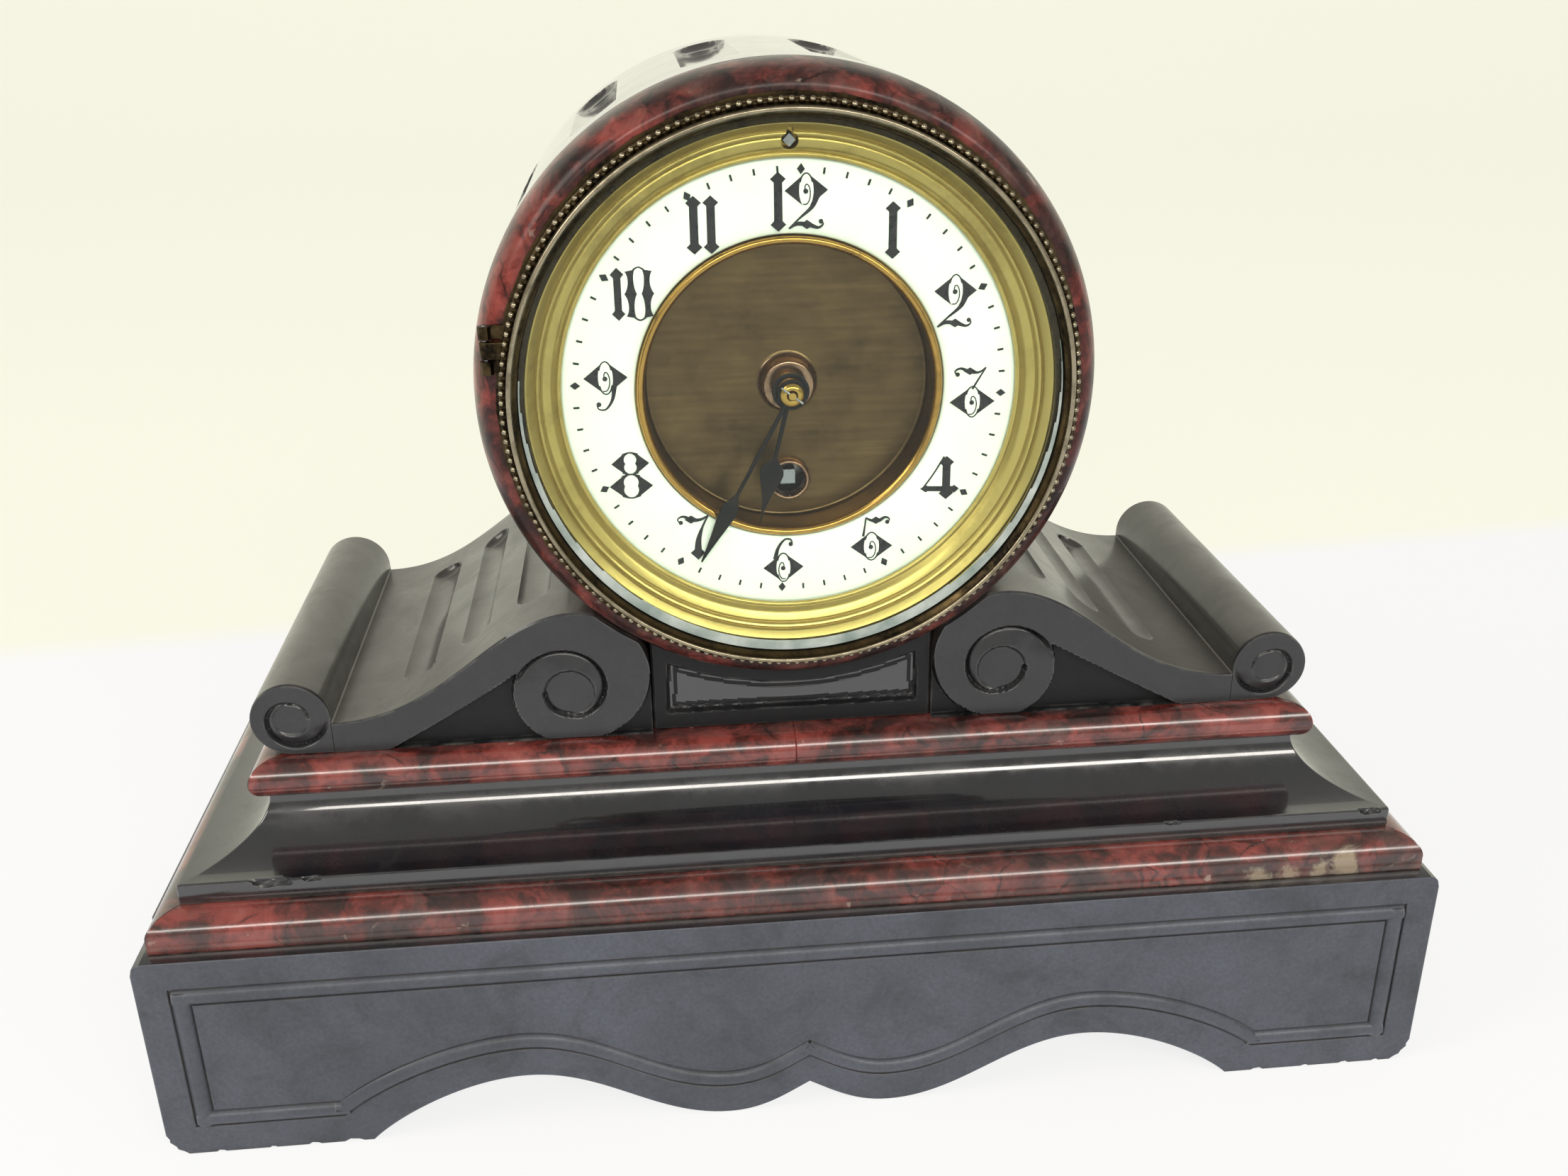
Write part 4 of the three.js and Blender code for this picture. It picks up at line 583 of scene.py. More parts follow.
# ends a tree in one material, runs it on a path (or on nothing) and keeps the result as a plain mesh
def grow(name, tree, values, geometry, material, source=None, sharp=32):
    solid = addNode(tree, "GeometryNodeRealizeInstances", {0: geometry.outputs[0]})
    finished = addNode(tree, "GeometryNodeSetMaterial", {"Geometry": solid.outputs[0], "Material": material})
    addNode(tree, "NodeGroupOutput", {0: finished.outputs[0]})
    seed = added(name + "_seed", source or bpy.data.meshes.new(name + "_seed"))
    grower = seed.modifiers.new("grow", "NODES")
    grower.node_group = tree
    for item in tree.interface.items_tree:
        if item.item_type == "SOCKET" and item.in_out == "INPUT" and item.name in values:
            grower[item.identifier] = values[item.name]
    mesh = settled(seed)
    bpy.data.objects.remove(seed)
    return meshPiece(name, mesh, sharp=sharp)


# hands a finished piece to the frame
def fit(piece, body, slot, *nodes):
    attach(piece, body)
    if nodes:
        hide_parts(*nodes)


# plinth: five slabs; the front one has the serpentine apron and a bead let in round its panel
plinth = dict(height=59.3, wall=20.0, soft=0.5, apronFoot=113.5, lineFoot=120.0, archX=73.0, archRise=17.0,
              lobeX=21.0, cusp=8.0, lineSide=157.0, lineTop=51.3, lineRise=8.5, lineWidth=5.0,
              beadRadius=2.4, proud=0.9, sunk=0.8, lap=1.7)


# left half of the apron's lower edge, from the foot to the cusp
def apronHalf(rise, footX, steps=26):
    p = plinth
    span = footX - p["archX"]
    arch, lobe = (-p["archX"], p["archRise"] + rise), (-p["lobeX"], rise)
    flow = 0.385 * (p["archX"] - p["lobeX"])
    line = [(-footX, rise)]
    line += bent(line[-1], (-footX + 0.14 * span, rise + 0.35 * p["archRise"]),
                 (-p["archX"] - 0.42 * span, p["archRise"] + rise), arch, steps)
    line += bent(arch, (arch[0] + flow, arch[1]), (lobe[0] - flow, rise), lobe, steps)
    line += bent(lobe, (-0.57 * p["lobeX"], rise), (-0.29 * p["lobeX"], rise + 0.56 * p["cusp"]),
                 (0.0, rise + p["cusp"]), 14)
    return line


def mirrored(line):
    return line + [(-x, z) for x, z in reversed(line[:-1])]


# one end of the front slab from its worn top corner down to the foot, with nicks (place, width, depth)
def knocked(hand, nicks):
    top = plinth["height"]
    line = [(-2.6, top), (-1.3, top - 0.5), (-0.5, top - 1.4), (0, top - 3.2), (0, 6.4), (-0.7, 5.0),
            (-0.6, 4.1), (-2.0, 2.6), (-2.3, 1.7), (-3.8, 0.9), (-4.9, 0)]
    line = [(hand * (halfWidth + x), z) for x, z in line]
    for at, wide, deep in nicks:
        line += [(at + hand * share * wide, rise * deep)
                 for share, rise in ((0.5, 0), (0.2, 1), (-0.25, 0.7), (-0.5, 0))]
    return line


# the plinth's top was left polished
def ledge(slab):
    faced(slab, polishedSlate,
          lambda face: face.normal.z > 0.8 and face.center.z > (plinth["height"] - 1.5) * mm)


def plinthPieces():
    p = plinth
    left = knocked(-1, ((-152, 2.4, 0.5), (-139, 1.8, 0.4), (-128.5, 3.2, 0.6), (-118.5, 5.0, 0.8)))
    right = knocked(1, ((156.0, 1.8, 0.45), (147, 2.6, 0.5), (136, 2.0, 0.4), (122.5, 3.4, 0.6)))
    outer = left + mirrored(apronHalf(0.0, p["apronFoot"])) + right[::-1]
    rim = [(-p["lineSide"], p["lineTop"]), (-p["lineSide"], p["lineRise"])]
    rim += mirrored(apronHalf(p["lineRise"], p["lineFoot"])) + [(-x, z) for x, z in reversed(rim)]
    w = p["lineWidth"]
    side, low = p["lineSide"] - w, p["lineRise"] + w
    field = [(-side, p["lineTop"] - w), (-side, low)]
    field += mirrored(apronHalf(low, p["lineFoot"])) + [(-x, z) for x, z in reversed(field)]
    frameSlab = cutSlab("plinth_frame", [outer, rim], 0.0, p["wall"], p["soft"], honedSlate)
    floor = cutSlab("plinth_floor", [rim], p["sunk"], p["wall"] - 0.2, 0.05, honedSlate)
    panel = cutSlab("plinth_panel", [field], 0.0, p["sunk"] + 1, 0.45, honedSlate)

    # the bead: each run of the border is a path, swept by a round
    middle = w / 2
    side, top, low = p["lineSide"] - middle, p["lineTop"] - middle, p["lineRise"] + middle
    lap = p["lap"]      # runs pass each other at the corners
    wave = [(-p["lineFoot"] - lap, low)] + apronHalf(low, p["lineFoot"])
    wave += [(lap * 0.5, wave[-1][1] + lap * 0.55)]
    runs = [[(-side - lap, top), (side + lap, top)], [(-side, low - lap), (-side, top + lap)],
            [(side, low - lap), (side, top + lap)], [(-side - lap, low), (-p["lineFoot"] + lap, low)],
            [(side + lap, low), (p["lineFoot"] - lap, low)], wave, [(-x, z) for x, z in wave]]
    bead = p["beadRadius"]
    path = runsOf("border_path", [[place(x, bead - p["proud"], z) for x, z in run] for run in runs], "3D")
    values = {"Bead Radius": bead * mm, "Sides": 28}
    tree, given = newTree("border_bead", values, True)
    section = addNode(tree, "GeometryNodeCurvePrimitiveCircle", {"Radius": given["Bead Radius"],
                                                                "Resolution": given["Sides"]})
    swept = addNode(tree, "GeometryNodeCurveToMesh", {"Curve": given["Geometry"], "Fill Caps": True,
                                                      "Profile Curve": section.outputs[0]})
    border = grow("plinth_bead", tree, values, swept, honedSlate, path)
    ledge(frameSlab)
    front = joined("plinth_front_slab", [frameSlab, floor, panel, border])
    fit(front, "case", "slate", "plinth_front")
    for hand, name in ((-1, "left"), (1, "right")):
        xs = sorted((hand * halfWidth, hand * (halfWidth - p["wall"])))
        slab = softBlock(f"plinth_{name}_slab", (xs[0], p["wall"] + 0.05, 0), (xs[1], caseDepth, p["height"]),
                         p["soft"], honedSlate)
        ledge(slab)
        fit(slab, "case", "slate", f"plinth_{name}")
    back = softBlock("plinth_back_slab", (-halfWidth + p["wall"], caseDepth - p["wall"], 0),
                     (halfWidth - p["wall"], caseDepth, p["height"]), p["soft"], honedSlate)
    fit(back, "case", "slate", "plinth_back")


plinthPieces()
print("clock: plinth made")


# marble strips run round three sides with mitred corners; a profile is (inset from the plinth face, height)
bands = dict(lowFoot=59.3, lowTop=68.4, lowInset=3.7, lowUpright=4.0, lowShoulder=6.7, lowThick=14.0,
             highFoot=86.3, highTop=96.0, highInset=26.9, highThick=17.0, arris=0.25)


# lofts a profile between two ends; each end gives x and setback for an inset
def strip(name, profile, endA, endB, material):
    middle = [sum(c) / len(profile) for c in zip(*profile)]
    rows = []
    for end, shrinks in ((endA, (bands["arris"], 0.0)), (endB, (0.0, bands["arris"]))):
        for shrink in shrinks:
            row = []
            for inset, height in profile:
                towards = Vector((middle[0] - inset, middle[1] - height))
                pull = towards * min(1.0, shrink / max(towards.length, 0.01))
                x, setback = end(inset + pull.x, bands["arris"] - shrink)
                row.append(place(x, setback, height + pull.y))
            rows.append(row)
    return meshPiece(name, cleaned(lofted(rows)), material, sharp=28)


def bandPieces():
    b = bands
    inner = b["lowInset"] + b["lowThick"]
    low = [(inner, b["lowFoot"])]
    low += [(b["lowInset"] + u, b["lowFoot"] + v) for u, v in ((0.5, 0), (0.12, 0.15), (0, 0.5))]
    low += quarter((b["lowInset"], b["lowFoot"] + b["lowUpright"]),
                   (b["lowInset"] + b["lowShoulder"], b["lowTop"]), "end", 14) + [(inner, b["lowTop"])]
    half = (b["highTop"] - b["highFoot"]) / 2
    nose = b["highInset"] + half
    deep = b["highInset"] + b["highThick"]
    high = [(deep, b["highFoot"])] + arc((nose, b["highFoot"] + half), half, 270, 90, 22)
    high += [(deep, b["highTop"])]
    left = lambda inset, t: (-halfWidth + inset + t, inset)
    right = lambda inset, t: (halfWidth - inset - t, inset)
    fit(strip("lower_marble_front", low, left, right, bandMarble), "case", "marble", "lower_band_front")
    joint = 0.02
    for hand, name in ((-1, "left"), (1, "right")):
        mitre = lambda inset, t: (hand * (halfWidth - inset), inset + t + joint)
        stop = lambda inset, t: (hand * (halfWidth - inset), caseDepth - t)
        fit(strip(f"lower_marble_{name}", low, mitre, stop, sideMarble), "case", "marble",
            f"lower_band_{name}")
        fit(strip(f"upper_marble_{name}", high, mitre, stop, sideMarble), "case", "marble",
            f"upper_band_{name}")
        corner = lambda inset, t: (hand * (halfWidth - inset - t), inset)
        butt = lambda inset, t: (hand * (joint + t), inset)
        fit(strip(f"upper_marble_front_{name}", high, corner, butt, bandMarble),
            "case", "marble", f"upper_band_front_{name}")


bandPieces()


# the hollow moulding between the marble bands, one block of polished slate
cavetto = dict(tongueInset=17.7, tongueFoot=59.3, foot=68.4, filletTop=74.0, filletInset=10.9,
               top=86.3, topInset=30.7, corner=0.5,
               chips=((-131.0, 5.0, 1.3), (-121.5, 2.4, 0.7), (96.0, 2.2, 0.6), (149.0, 3.0, 0.9)))


def cavettoBlock():
    c = cavetto
    line = [(c["tongueInset"], c["tongueFoot"]), (c["tongueInset"], c["foot"])]
    line += [(c["filletInset"] + u, c["foot"] + v) for u, v in ((0.4, 0), (0.1, 0.12), (0, 0.45))]
    line += [(c["filletInset"] + u, c["filletTop"] - v) for u, v in ((0, 0.5), (0.15, 0.12), (0.5, 0))]
    line += quarter((c["filletInset"] + 0.9, c["filletTop"]), (c["topInset"], c["top"]), "start", 30)
    bend = [(1 - math.sin(a), 1 - math.cos(a)) for a in (0, math.pi / 6, math.pi / 3, math.pi / 2)]
    rows = []
    for inset, height in line:
        x, near, r = halfWidth - inset, inset, c["corner"]
        ring = [(-x, caseDepth)] + [(-x + r * v, near + r * u) for u, v in bend]
        ring += [(x - r * u, near + r * v) for u, v in bend] + [(x, caseDepth)]
        rows.append([place(px, setback, height) for px, setback in ring])
    block = meshPiece("hollow_moulding", cleaned(lofted(rows)), polishedSlate, sharp=26)
    for at, wide, deep in c["chips"]:      # arris knocked off the fillet
        lump = bmesh.new()
        bmesh.ops.create_icosphere(lump, subdivisions=3, radius=1.0)
        for vertex in lump.verts:
            x, y, z = vertex.co
            rough = 1 + 0.16 * math.sin(5 * x + 3 * z) + 0.1 * math.sin(9 * z - 7 * x + 4 * y)
            vertex.co = place(at + x * wide * rough, c["filletInset"] + 0.2 + y * deep * rough,
                              c["filletTop"] + z * deep * 1.6 * rough)
        cutter = bpy.data.meshes.new("chip")
        lump.to_mesh(cutter)
        lump.free()
        cutAway(block, meshPiece("chip", cutter, carvedSlate))
    fit(block, "case", "slate", "cavetto_block")


cavettoBlock()
print("clock: bands and hollow moulding made")


# scrolls and saddle: blocks whose front is carved in relief; the scrolls' tops are fluted
scroll = dict(innerX=36.5, deck=96.0, face=33.5, back=136.0, voluteX=54.5, voluteZ=113.4, voluteR=18.0,
              valley=(117.2, 104.2), pullA=(76.1, 131.4), pullB=(88.0, 104.2), rollX=126.9, rollZ=105.84,
              rollR=9.84, drumCut=74.5, sunk=2.5, roundel=14.2, eyes=((57.1, 109.0), (54.5, 109.4)),
              eyeR=6.4, drop=1.5, arris=0.45, flutes=(97.0, 81.5, 66.0), fluteHalf=4.6, fluteDepth=2.1,
              fluteFrom=48.5, fluteTo=124.5)


def smooth(low, high, value):
    t = np.clip((value - low) / (high - low), 0, 1)
    return t * t * (3 - 2 * t)


# distance into a closed outline, negative outside
def inside(outline, x, z):
    line = np.array(outline)
    far = np.full(x.shape, 1e9)
    within = np.zeros(x.shape, bool)
    for (ax, az), (bx, bz) in zip(line, np.roll(line, -1, axis=0)):
        dx, dz = bx - ax, bz - az
        t = np.clip(((x - ax) * dx + (z - az) * dz) / max(dx * dx + dz * dz, 1e-9), 0, 1)
        far = np.minimum(far, np.hypot(x - ax - t * dx, z - az - t * dz))
        if dz:
            within ^= ((az > z) != (bz > z)) & (x < dx * (z - az) / dz + ax)
    return np.where(within, far, -far)


# even steps along a line
def evenly(line, step):
    line = np.array(line)
    lengths = np.concatenate(([0], np.cumsum(np.hypot(*np.diff(line, axis=0).T))))
    along = np.linspace(0, lengths[-1], int(lengths[-1] / step) + 1)
    return np.column_stack([np.interp(along, lengths, line[:, i]) for i in (0, 1)])


# block between a bottom and a top line: relief carves its front, sink lowers its top
def carvedBlock(name, tops, bottoms, rows, relief, front, back, depths, sink, arris, mirror, materials):
    count = len(tops)
    grade = np.concatenate(([0], np.linspace(0.015, 0.985, rows - 1), [1]))
    x = np.repeat(tops[:, :1], rows + 1, axis=1)
    z = bottoms[:, 1:] + (tops[:, 1:] - bottoms[:, 1:]) * grade
    carved = relief(x, z)
    setback = front - carved
    setback[:, 0] = setback[:, -1] = front + arris
    setback[0, :] = np.maximum(setback[0, :], front + arris)
    setback[-1, :] = np.maximum(setback[-1, :], front + arris)
    slope = np.gradient(tops, axis=0)
    normal = np.column_stack([-slope[:, 1], slope[:, 0]])
    normal /= np.maximum(np.hypot(*normal.T), 1e-9)[:, None]
    points, faces, slots = [], [], []
    hand = -1 if mirror else 1
    for i in range(count):
        for j in range(rows + 1):
            points.append(place(hand * x[i, j], setback[i, j], z[i, j]))
    face = lambda i, j: i * (rows + 1) + j
    for i in range(count - 1):
        for j in range(rows):
            faces.append((face(i, j), face(i + 1, j), face(i + 1, j + 1), face(i, j + 1)))
            slots.append(2 if carved[i, j] < -1.4 else 0)      # painted shade: the darker slate goes where the carving is deep
    base = len(points)
    depths = np.array(depths)
    for i in range(count):
        down = sink(i, depths)
        for k, depth in enumerate(depths):
            px, pz = tops[i] - normal[i] * down[k]
            points.append(place(hand * px, depth, pz))
    top = lambda i, k: face(i, rows) if k == 0 else base + i * len(depths) + k - 1
    last = len(depths)
    for i in range(count - 1):
        for k in range(last):
            faces.append((top(i, k), top(i + 1, k), top(i + 1, k + 1), top(i, k + 1)))
            slots.append(1)
    foot = len(points)
    for i in range(count):
        points.append(place(hand * bottoms[i, 0], back, bottoms[i, 1]))
    for i in range(count - 1):
        faces.append((face(i, 0), foot + i, foot + i + 1, face(i + 1, 0)))
        faces.append((foot + i, top(i, last), top(i + 1, last), foot + i + 1))
        slots += [1, 1]
    for i, turn in ((0, 1), (count - 1, -1)):
        ring = [face(i, j) for j in range(rows + 1)] + [top(i, k) for k in range(1, last + 1)] + [foot + i]
        faces.append(tuple(ring[::turn]))
        slots.append(1)
    return meshPiece(name, cleaned(meshOf(points, faces, slots), 0.004, 0.002), *materials, sharp=40)


def scrollPieces():
    s = scroll
    line = [(s["innerX"], s["voluteZ"])]
    line += arc((s["voluteX"], s["voluteZ"]), s["voluteR"], 180, 90, 30)[1:]
    line += bent(line[-1], s["pullA"], s["pullB"], s["valley"], 60)
    line += arc((s["rollX"], s["rollZ"]), s["rollR"], 180, 2, 48)
    tops = evenly(line, 0.4)
    barrel = axisHeight - np.sqrt(np.maximum(s["drumCut"] ** 2 - tops[:, 0] ** 2, 0))
    tops[:, 1] = np.where(tops[:, 0] < s["drumCut"], np.minimum(tops[:, 1], barrel), tops[:, 1])
    bottoms = tops.copy()
    under = s["rollZ"] - np.sqrt(np.maximum(s["rollR"] ** 2 - (tops[:, 0] - s["rollX"]) ** 2, 0))
    bottoms[:, 1] = np.where(tops[:, 0] > s["rollX"], under, s["deck"])

    # a ribbon wound in on itself: its edge steps down as it turns in, its face climbs again to a sunk eye
    def wound(x, z, eye, startDeg, outer, eyeR, drop):
        around = np.hypot(x - eye[0], z - eye[1])
        turned = (np.arctan2(z - eye[1], x - eye[0]) - math.radians(startDeg)) % (2 * math.pi)
        edge = np.maximum(outer - (outer - eyeR) * turned / (1.5 * math.pi), eyeR)
        climb = np.clip((edge - around) / np.maximum(edge - eyeR, 0.01), 0, 1)
        deep = drop * np.minimum(1, (edge - eyeR) / 2.5) * (1 - climb) * smooth(0.0, 0.7, turned)
        deep = deep * smooth(0.3, -0.35, around - edge) + 0.55 * drop * smooth(0.3, -0.5, around - eyeR)
        line = np.exp(-((around - edge + 0.2) / 0.42) ** 2) * smooth(0.0, 0.5, turned)
        return -deep - 0.6 * drop * line

    # millimetres proud of the face: sunk spandrels, the volute and the roll's end wound in
    def carving(eye):
        tip = (eye[0] + 13.0, eye[1] + 6.4)
        spandrel = [(103.0, 96.0)] + bent((103.0, 96.0), (92.0, 102.0), (78.5, 109.5), tip, 24)
        spandrel += arc(eye, s["roundel"], 22, -72, 24) + [(eye[0] + 5, 94.0), (103.0, 94.0)]

        def relief(x, z):
            up = -s["sunk"] * smooth(-0.15, 0.5, inside(spandrel, x, z))
            volute = np.hypot(x - s["voluteX"], z - s["voluteZ"])
            corner = (x < s["voluteX"]) & (z < s["voluteZ"])
            up = up - np.where(corner, s["sunk"] * smooth(-0.15, 0.55, volute - s["voluteR"] + 0.15), 0)
            up = up + wound(x, z, eye, 5, s["roundel"], s["eyeR"], s["drop"])
            roll = np.hypot(x - s["rollX"], z - s["rollZ"]) < s["rollR"] - 0.3
            return up + np.where(roll, wound(x, z, (s["rollX"], s["rollZ"]), 180, 9.3, 4.5, 1.1), 0)

        return relief

    steps = np.concatenate(([0], np.cumsum(np.hypot(*np.diff(tops, axis=0).T))))
    middles = [steps[np.argmin(np.where(tops[:, 0] < 117, np.abs(tops[:, 0] - f), 99))] for f in s["flutes"]]

    def sink(i, depths):
        low = np.zeros(len(depths))
        for middle in middles:
            across = (steps[i] - middle) / s["fluteHalf"]
            beyond = np.maximum(np.maximum(s["fluteFrom"] + s["fluteHalf"] - depths,
                                           depths - s["fluteTo"] + s["fluteHalf"]), 0) / s["fluteHalf"]
            low = np.maximum(low, s["fluteDepth"] * np.sqrt(np.maximum(1 - across ** 2 - beyond ** 2, 0)))
        return low

    ends = np.concatenate((np.linspace(s["fluteFrom"], s["fluteFrom"] + 4, 10), np.linspace(56, 118, 22),
                           np.linspace(s["fluteTo"] - 4, s["fluteTo"], 10)))
    depths = [s["face"] + 1.2, 42.0] + list(ends) + [s["back"] - 0.5, s["back"]]
    for name, mirror, eye in (("left", True, s["eyes"][0]), ("right", False, s["eyes"][1])):
        piece = carvedBlock(f"{name}_carved_scroll", tops, bottoms, 90, carving(eye), s["face"], s["back"],
                            depths, sink, s["arris"], mirror, (carvedSlate, waxedSlate, shadedSlate))
        fit(piece, "case", "slate", f"{name}_scroll")


scrollPieces()


saddle = dict(half=36.2, face=36.0, back=136.0, deck=96.0, drumCut=74.5, border=4.0, low=100.5, sunk=1.5,
              pocketHalf=21.5, pocketFrom=85.0, pocketTo=103.0, pocketFloor=98.5)


def saddlePiece():
    s = saddle
    xs = np.linspace(-s["half"], s["half"], 146)
    tops = np.column_stack([xs, axisHeight - np.sqrt(s["drumCut"] ** 2 - xs ** 2)])
    bottoms = np.column_stack([xs, np.full(len(xs), s["deck"])])
    side = s["half"] - s["border"]
    reach = s["drumCut"] + 3.6      # the panel's top follows the drum at this radius
    over = [(x, axisHeight - math.sqrt(reach ** 2 - x * x)) for x in np.linspace(side, -side, 40)]
    panel = [(-side - 0.6, s["low"]), (side + 0.6, s["low"])] + over

    def relief(x, z):
        deep = inside(panel, x, z)
        return -s["sunk"] * smooth(-0.1, 0.9, deep) + 0.2 * np.exp(-((deep - 1.9) / 0.6) ** 2)

    # the saddle's front and the pocket's walls take the darker slate: painted shade under the drum
    block = carvedBlock("carved_saddle", tops, bottoms, 52, relief, s["face"], s["back"],
                        [s["face"] + 1, 60, 85, 103, s["back"]], lambda i, d: np.zeros(len(d)), 0.4, False,
                        (shadedSlate, polishedSlate, shadedSlate))
    pocket = softBlock("pocket", (-s["pocketHalf"], s["pocketFrom"], s["pocketFloor"]),
                       (s["pocketHalf"], s["pocketTo"], 130), 0.3, shadedSlate)
    cutAway(block, pocket)
    fit(block, "case", "slate", "saddle_block")


saddlePiece()
print("clock: scrolls and saddle made")


# drum: a slate barrel with flutes let into it all round; the rule is the same for each, so nodes make it
drum = dict(radius=74.2, bore=64.5, front=44.0, back=136.0, count=15, firstDeg=12.0, fluteDeg=10.4,
            fluteDepth=2.3, fluteFrom=56.0, fluteTo=125.0, windowHalf=21.5, windowFrom=85.0, windowTo=103.0,
            around=720, along=92, ease=0.7, ringFront=27.2, ringFlat=68.0, ringCheek=40.0, ringBack=43.95)


def drumPiece():
    d = drum
    values = {
        "Radius": d["radius"] * mm, "Length": (d["back"] - d["front"]) * mm, "Around": d["around"] + 1,
        "Along": d["along"] + 1, "Flutes": float(d["count"]), "First Turn": math.radians(d["firstDeg"]),
        "Half Width": math.radians(d["fluteDeg"] / 2) * d["radius"] * mm, "Depth": d["fluteDepth"] * mm,
        "Flute From": (d["fluteFrom"] - d["front"]) * mm, "Flute To": (d["fluteTo"] - d["front"]) * mm}
    tree, given = newTree("fluted_barrel", values)

    def sums(kind, *ends):
        return maths(tree, kind, *ends)

    sheet = addNode(tree, "GeometryNodeMeshGrid",
                    {"Size X": 1.0, "Size Y": given["Length"], "Vertices X": given["Around"],
                     "Vertices Y": given["Along"]})
    spot = apart(tree, addNode(tree, "GeometryNodeInputPosition", {}).outputs[0])
    turn = sums("MULTIPLY", spot["X"], 2 * math.pi)
    depth = sums("ADD", spot["Y"], sums("MULTIPLY", given["Length"], 0.5))
    pitch = sums("DIVIDE", 2 * math.pi, given["Flutes"])
    offset = sums("SUBTRACT", turn, given["First Turn"])
    nearest = sums("MULTIPLY", sums("ROUND", sums("DIVIDE", offset, pitch)), pitch)
    across = sums("MULTIPLY", sums("SUBTRACT", offset, nearest), given["Radius"])
    short = sums("SUBTRACT", sums("ADD", given["Flute From"], given["Half Width"]), depth)
    over = sums("ADD", sums("SUBTRACT", depth, given["Flute To"]), given["Half Width"])
    beyond = sums("MAXIMUM", sums("MAXIMUM", short, over), 0.0)
    away = sums("DIVIDE", sums("SQRT", sums("ADD", sums("MULTIPLY", across, across),
                                            sums("MULTIPLY", beyond, beyond))), given["Half Width"])
    scoop = sums("SQRT", sums("MAXIMUM", sums("SUBTRACT", 1.0, sums("MULTIPLY", away, away)), 0.0))
    radius = sums("SUBTRACT", given["Radius"], sums("MULTIPLY", scoop, given["Depth"]))
    ring = addNode(tree, "ShaderNodeCombineXYZ",
                   {"X": sums("MULTIPLY", radius, sums("SINE", turn)), "Y": depth,
                    "Z": sums("MULTIPLY", radius, sums("COSINE", turn))})
    shaped = addNode(tree, "GeometryNodeSetPosition",
                     {"Geometry": sheet.outputs[0], "Position": ring.outputs[0]})
    shell = grow("fluted_drum", tree, values, shaped, drumSlate)
    # close the seam, then give the barrel its eased ends and its bore
    whole = bmesh.new()
    whole.from_mesh(shell.data)
    bmesh.ops.translate(whole, verts=whole.verts, vec=place(0, d["front"], axisHeight))
    bmesh.ops.remove_doubles(whole, verts=whole.verts, dist=0.01 * mm)
    shoulder = d["radius"] - d["ease"]
    for setback, push in ((d["front"], 0.0), (d["back"], -0.6)):
        level = place(0, setback, 0).y
        rim = [e for e in whole.edges if e.is_boundary and abs(e.verts[0].co.y - level) < 0.1 * mm]
        for radius, ahead in ((shoulder, setback), (d["bore"], setback),
                              (d["bore"], (d["front"] + d["back"]) / 2)):
            made = bmesh.ops.extrude_edge_only(whole, edges=rim)["geom"]
            for vertex in (g for g in made if isinstance(g, bmesh.types.BMVert)):
                side = Vector((vertex.co.x, vertex.co.z - axisHeight * mm)).normalized() * radius * mm
                vertex.co = Vector((side.x, place(0, ahead, 0).y, side.y + axisHeight * mm))
            if push and radius == shoulder:
                for vertex in (v for edge in rim for v in edge.verts):
                    vertex.co.y = level + push * mm
            rim = [g for g in made if isinstance(g, bmesh.types.BMEdge) and g.is_boundary]
    whole.to_mesh(shell.data)
    whole.free()
    smoothed(cleaned(shell.data, 0.01))
    window = softBlock("window", (-d["windowHalf"], d["windowFrom"], 100),
                       (d["windowHalf"], d["windowTo"], 135), 0.3, drumSlate)
    cutAway(shell, window)
    fit(shell, "case", "slate", "drum_body")
    near, far = d["ringFront"], d["ringBack"]
    face = [(d["bore"], near), (d["ringFlat"], near)]
    face += quarter((d["ringFlat"] + 0.5, near), (d["radius"], d["ringCheek"]), "start", 18)
    face += [(d["radius"], far - 0.35), (d["radius"] - 0.3, far), (d["bore"], far)]
    fit(turnedRing("marble_ring", face, ringMarble, 240), "case", "marble", "drum_ring")


drumPiece()
print("clock: drum made")


# dial: gilt sight ring, enamel chapter ring with painted figures, sunk brass centre
dial = dict(turnDeg=3.1, rise=0.7, bold=1.04, figureRadius=43.1, trackRadius=50.2, face=32.2, paint=0.07,
            keyhole=57.2, winding=-24.3)


